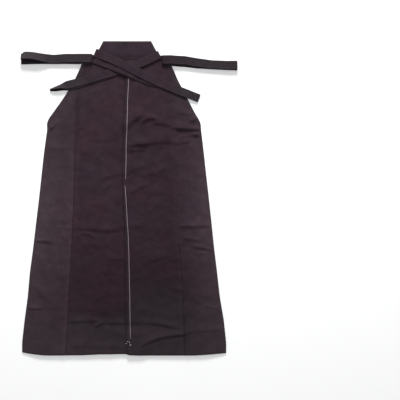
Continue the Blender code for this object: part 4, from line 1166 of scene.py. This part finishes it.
# The floor, a pale even ground, with soft studio light: one wide lamp low past the waist, a broad
# one overhead, and a pale room all round. The camera looks straight down through a long lens.
FLOOR_SIZE, FLOOR_Z, FLOOR_GLOW = 12.0, -0.0006, 0.22
bpy.ops.mesh.primitive_plane_add(size=FLOOR_SIZE, location=(0.0, 0.0, FLOOR_Z))
floor = bpy.context.object
floor.name = "floor"
paint = bpy.data.materials.new("matt_painted_floor")
paint.use_nodes = True
tree = paint.node_tree
shader = tree.nodes["Principled BSDF"]
place = node(tree, "TexCoord").outputs["Object"]
grain = node(tree, "TexNoise", {"Vector": place, "Scale": 3.0, "Detail": 4.0}).outputs["Fac"]
pale = node(tree, "Mix", {0: grain, 6: linear("#f8f8f7"), 7: linear("#fcfcfb")}, data_type="RGBA")
tree.links.new(pale.outputs[2], shader.inputs["Base Color"])
shader.inputs["Roughness"].default_value = 0.9
shader.inputs["Emission Color"].default_value = linear("#ffffff")
shader.inputs["Emission Strength"].default_value = FLOOR_GLOW
floor.data.materials.append(paint)


def area_light(name, place, aim, size, power):
    """A square lamp turned from its place towards a point."""
    lamp = bpy.data.lights.new(name, "AREA")
    lamp.size, lamp.energy = size, power
    holder = bpy.data.objects.new(name, lamp)
    bpy.context.scene.collection.objects.link(holder)
    holder.location = place
    x, y, z = unit(np.array(aim) - np.array(place))
    holder.rotation_euler = (math.acos(-z), 0.0, math.atan2(y, x) - math.pi / 2)


area_light("window", (0.1, 3.2, 1.5), (0.1, 0.0, 0.0), 0.9, 150.0)
area_light("overhead", (0.1, 0.6, 3.6), (0.1, 0.0, 0.0), 3.0, 30.0)
world = bpy.data.worlds.new("room")
world.use_nodes = True
world.node_tree.nodes["Background"].inputs["Color"].default_value = (0.95, 0.96, 1.0, 1.0)
world.node_tree.nodes["Background"].inputs["Strength"].default_value = 0.3
bpy.context.scene.world = world
bpy.context.scene.view_settings.view_transform = "Standard"

FRAME_WIDTH, CAMERA_HEIGHT, FRAME_CENTRE = 1.36, 3.0, (0.2402, -0.0058)
camera = bpy.data.objects.new("camera", bpy.data.cameras.new("camera"))
camera.data.lens = camera.data.sensor_width * CAMERA_HEIGHT / FRAME_WIDTH
camera.data.clip_end = 50.0
camera.location = (*FRAME_CENTRE, CAMERA_HEIGHT)
bpy.context.scene.collection.objects.link(camera)
bpy.context.scene.camera = camera
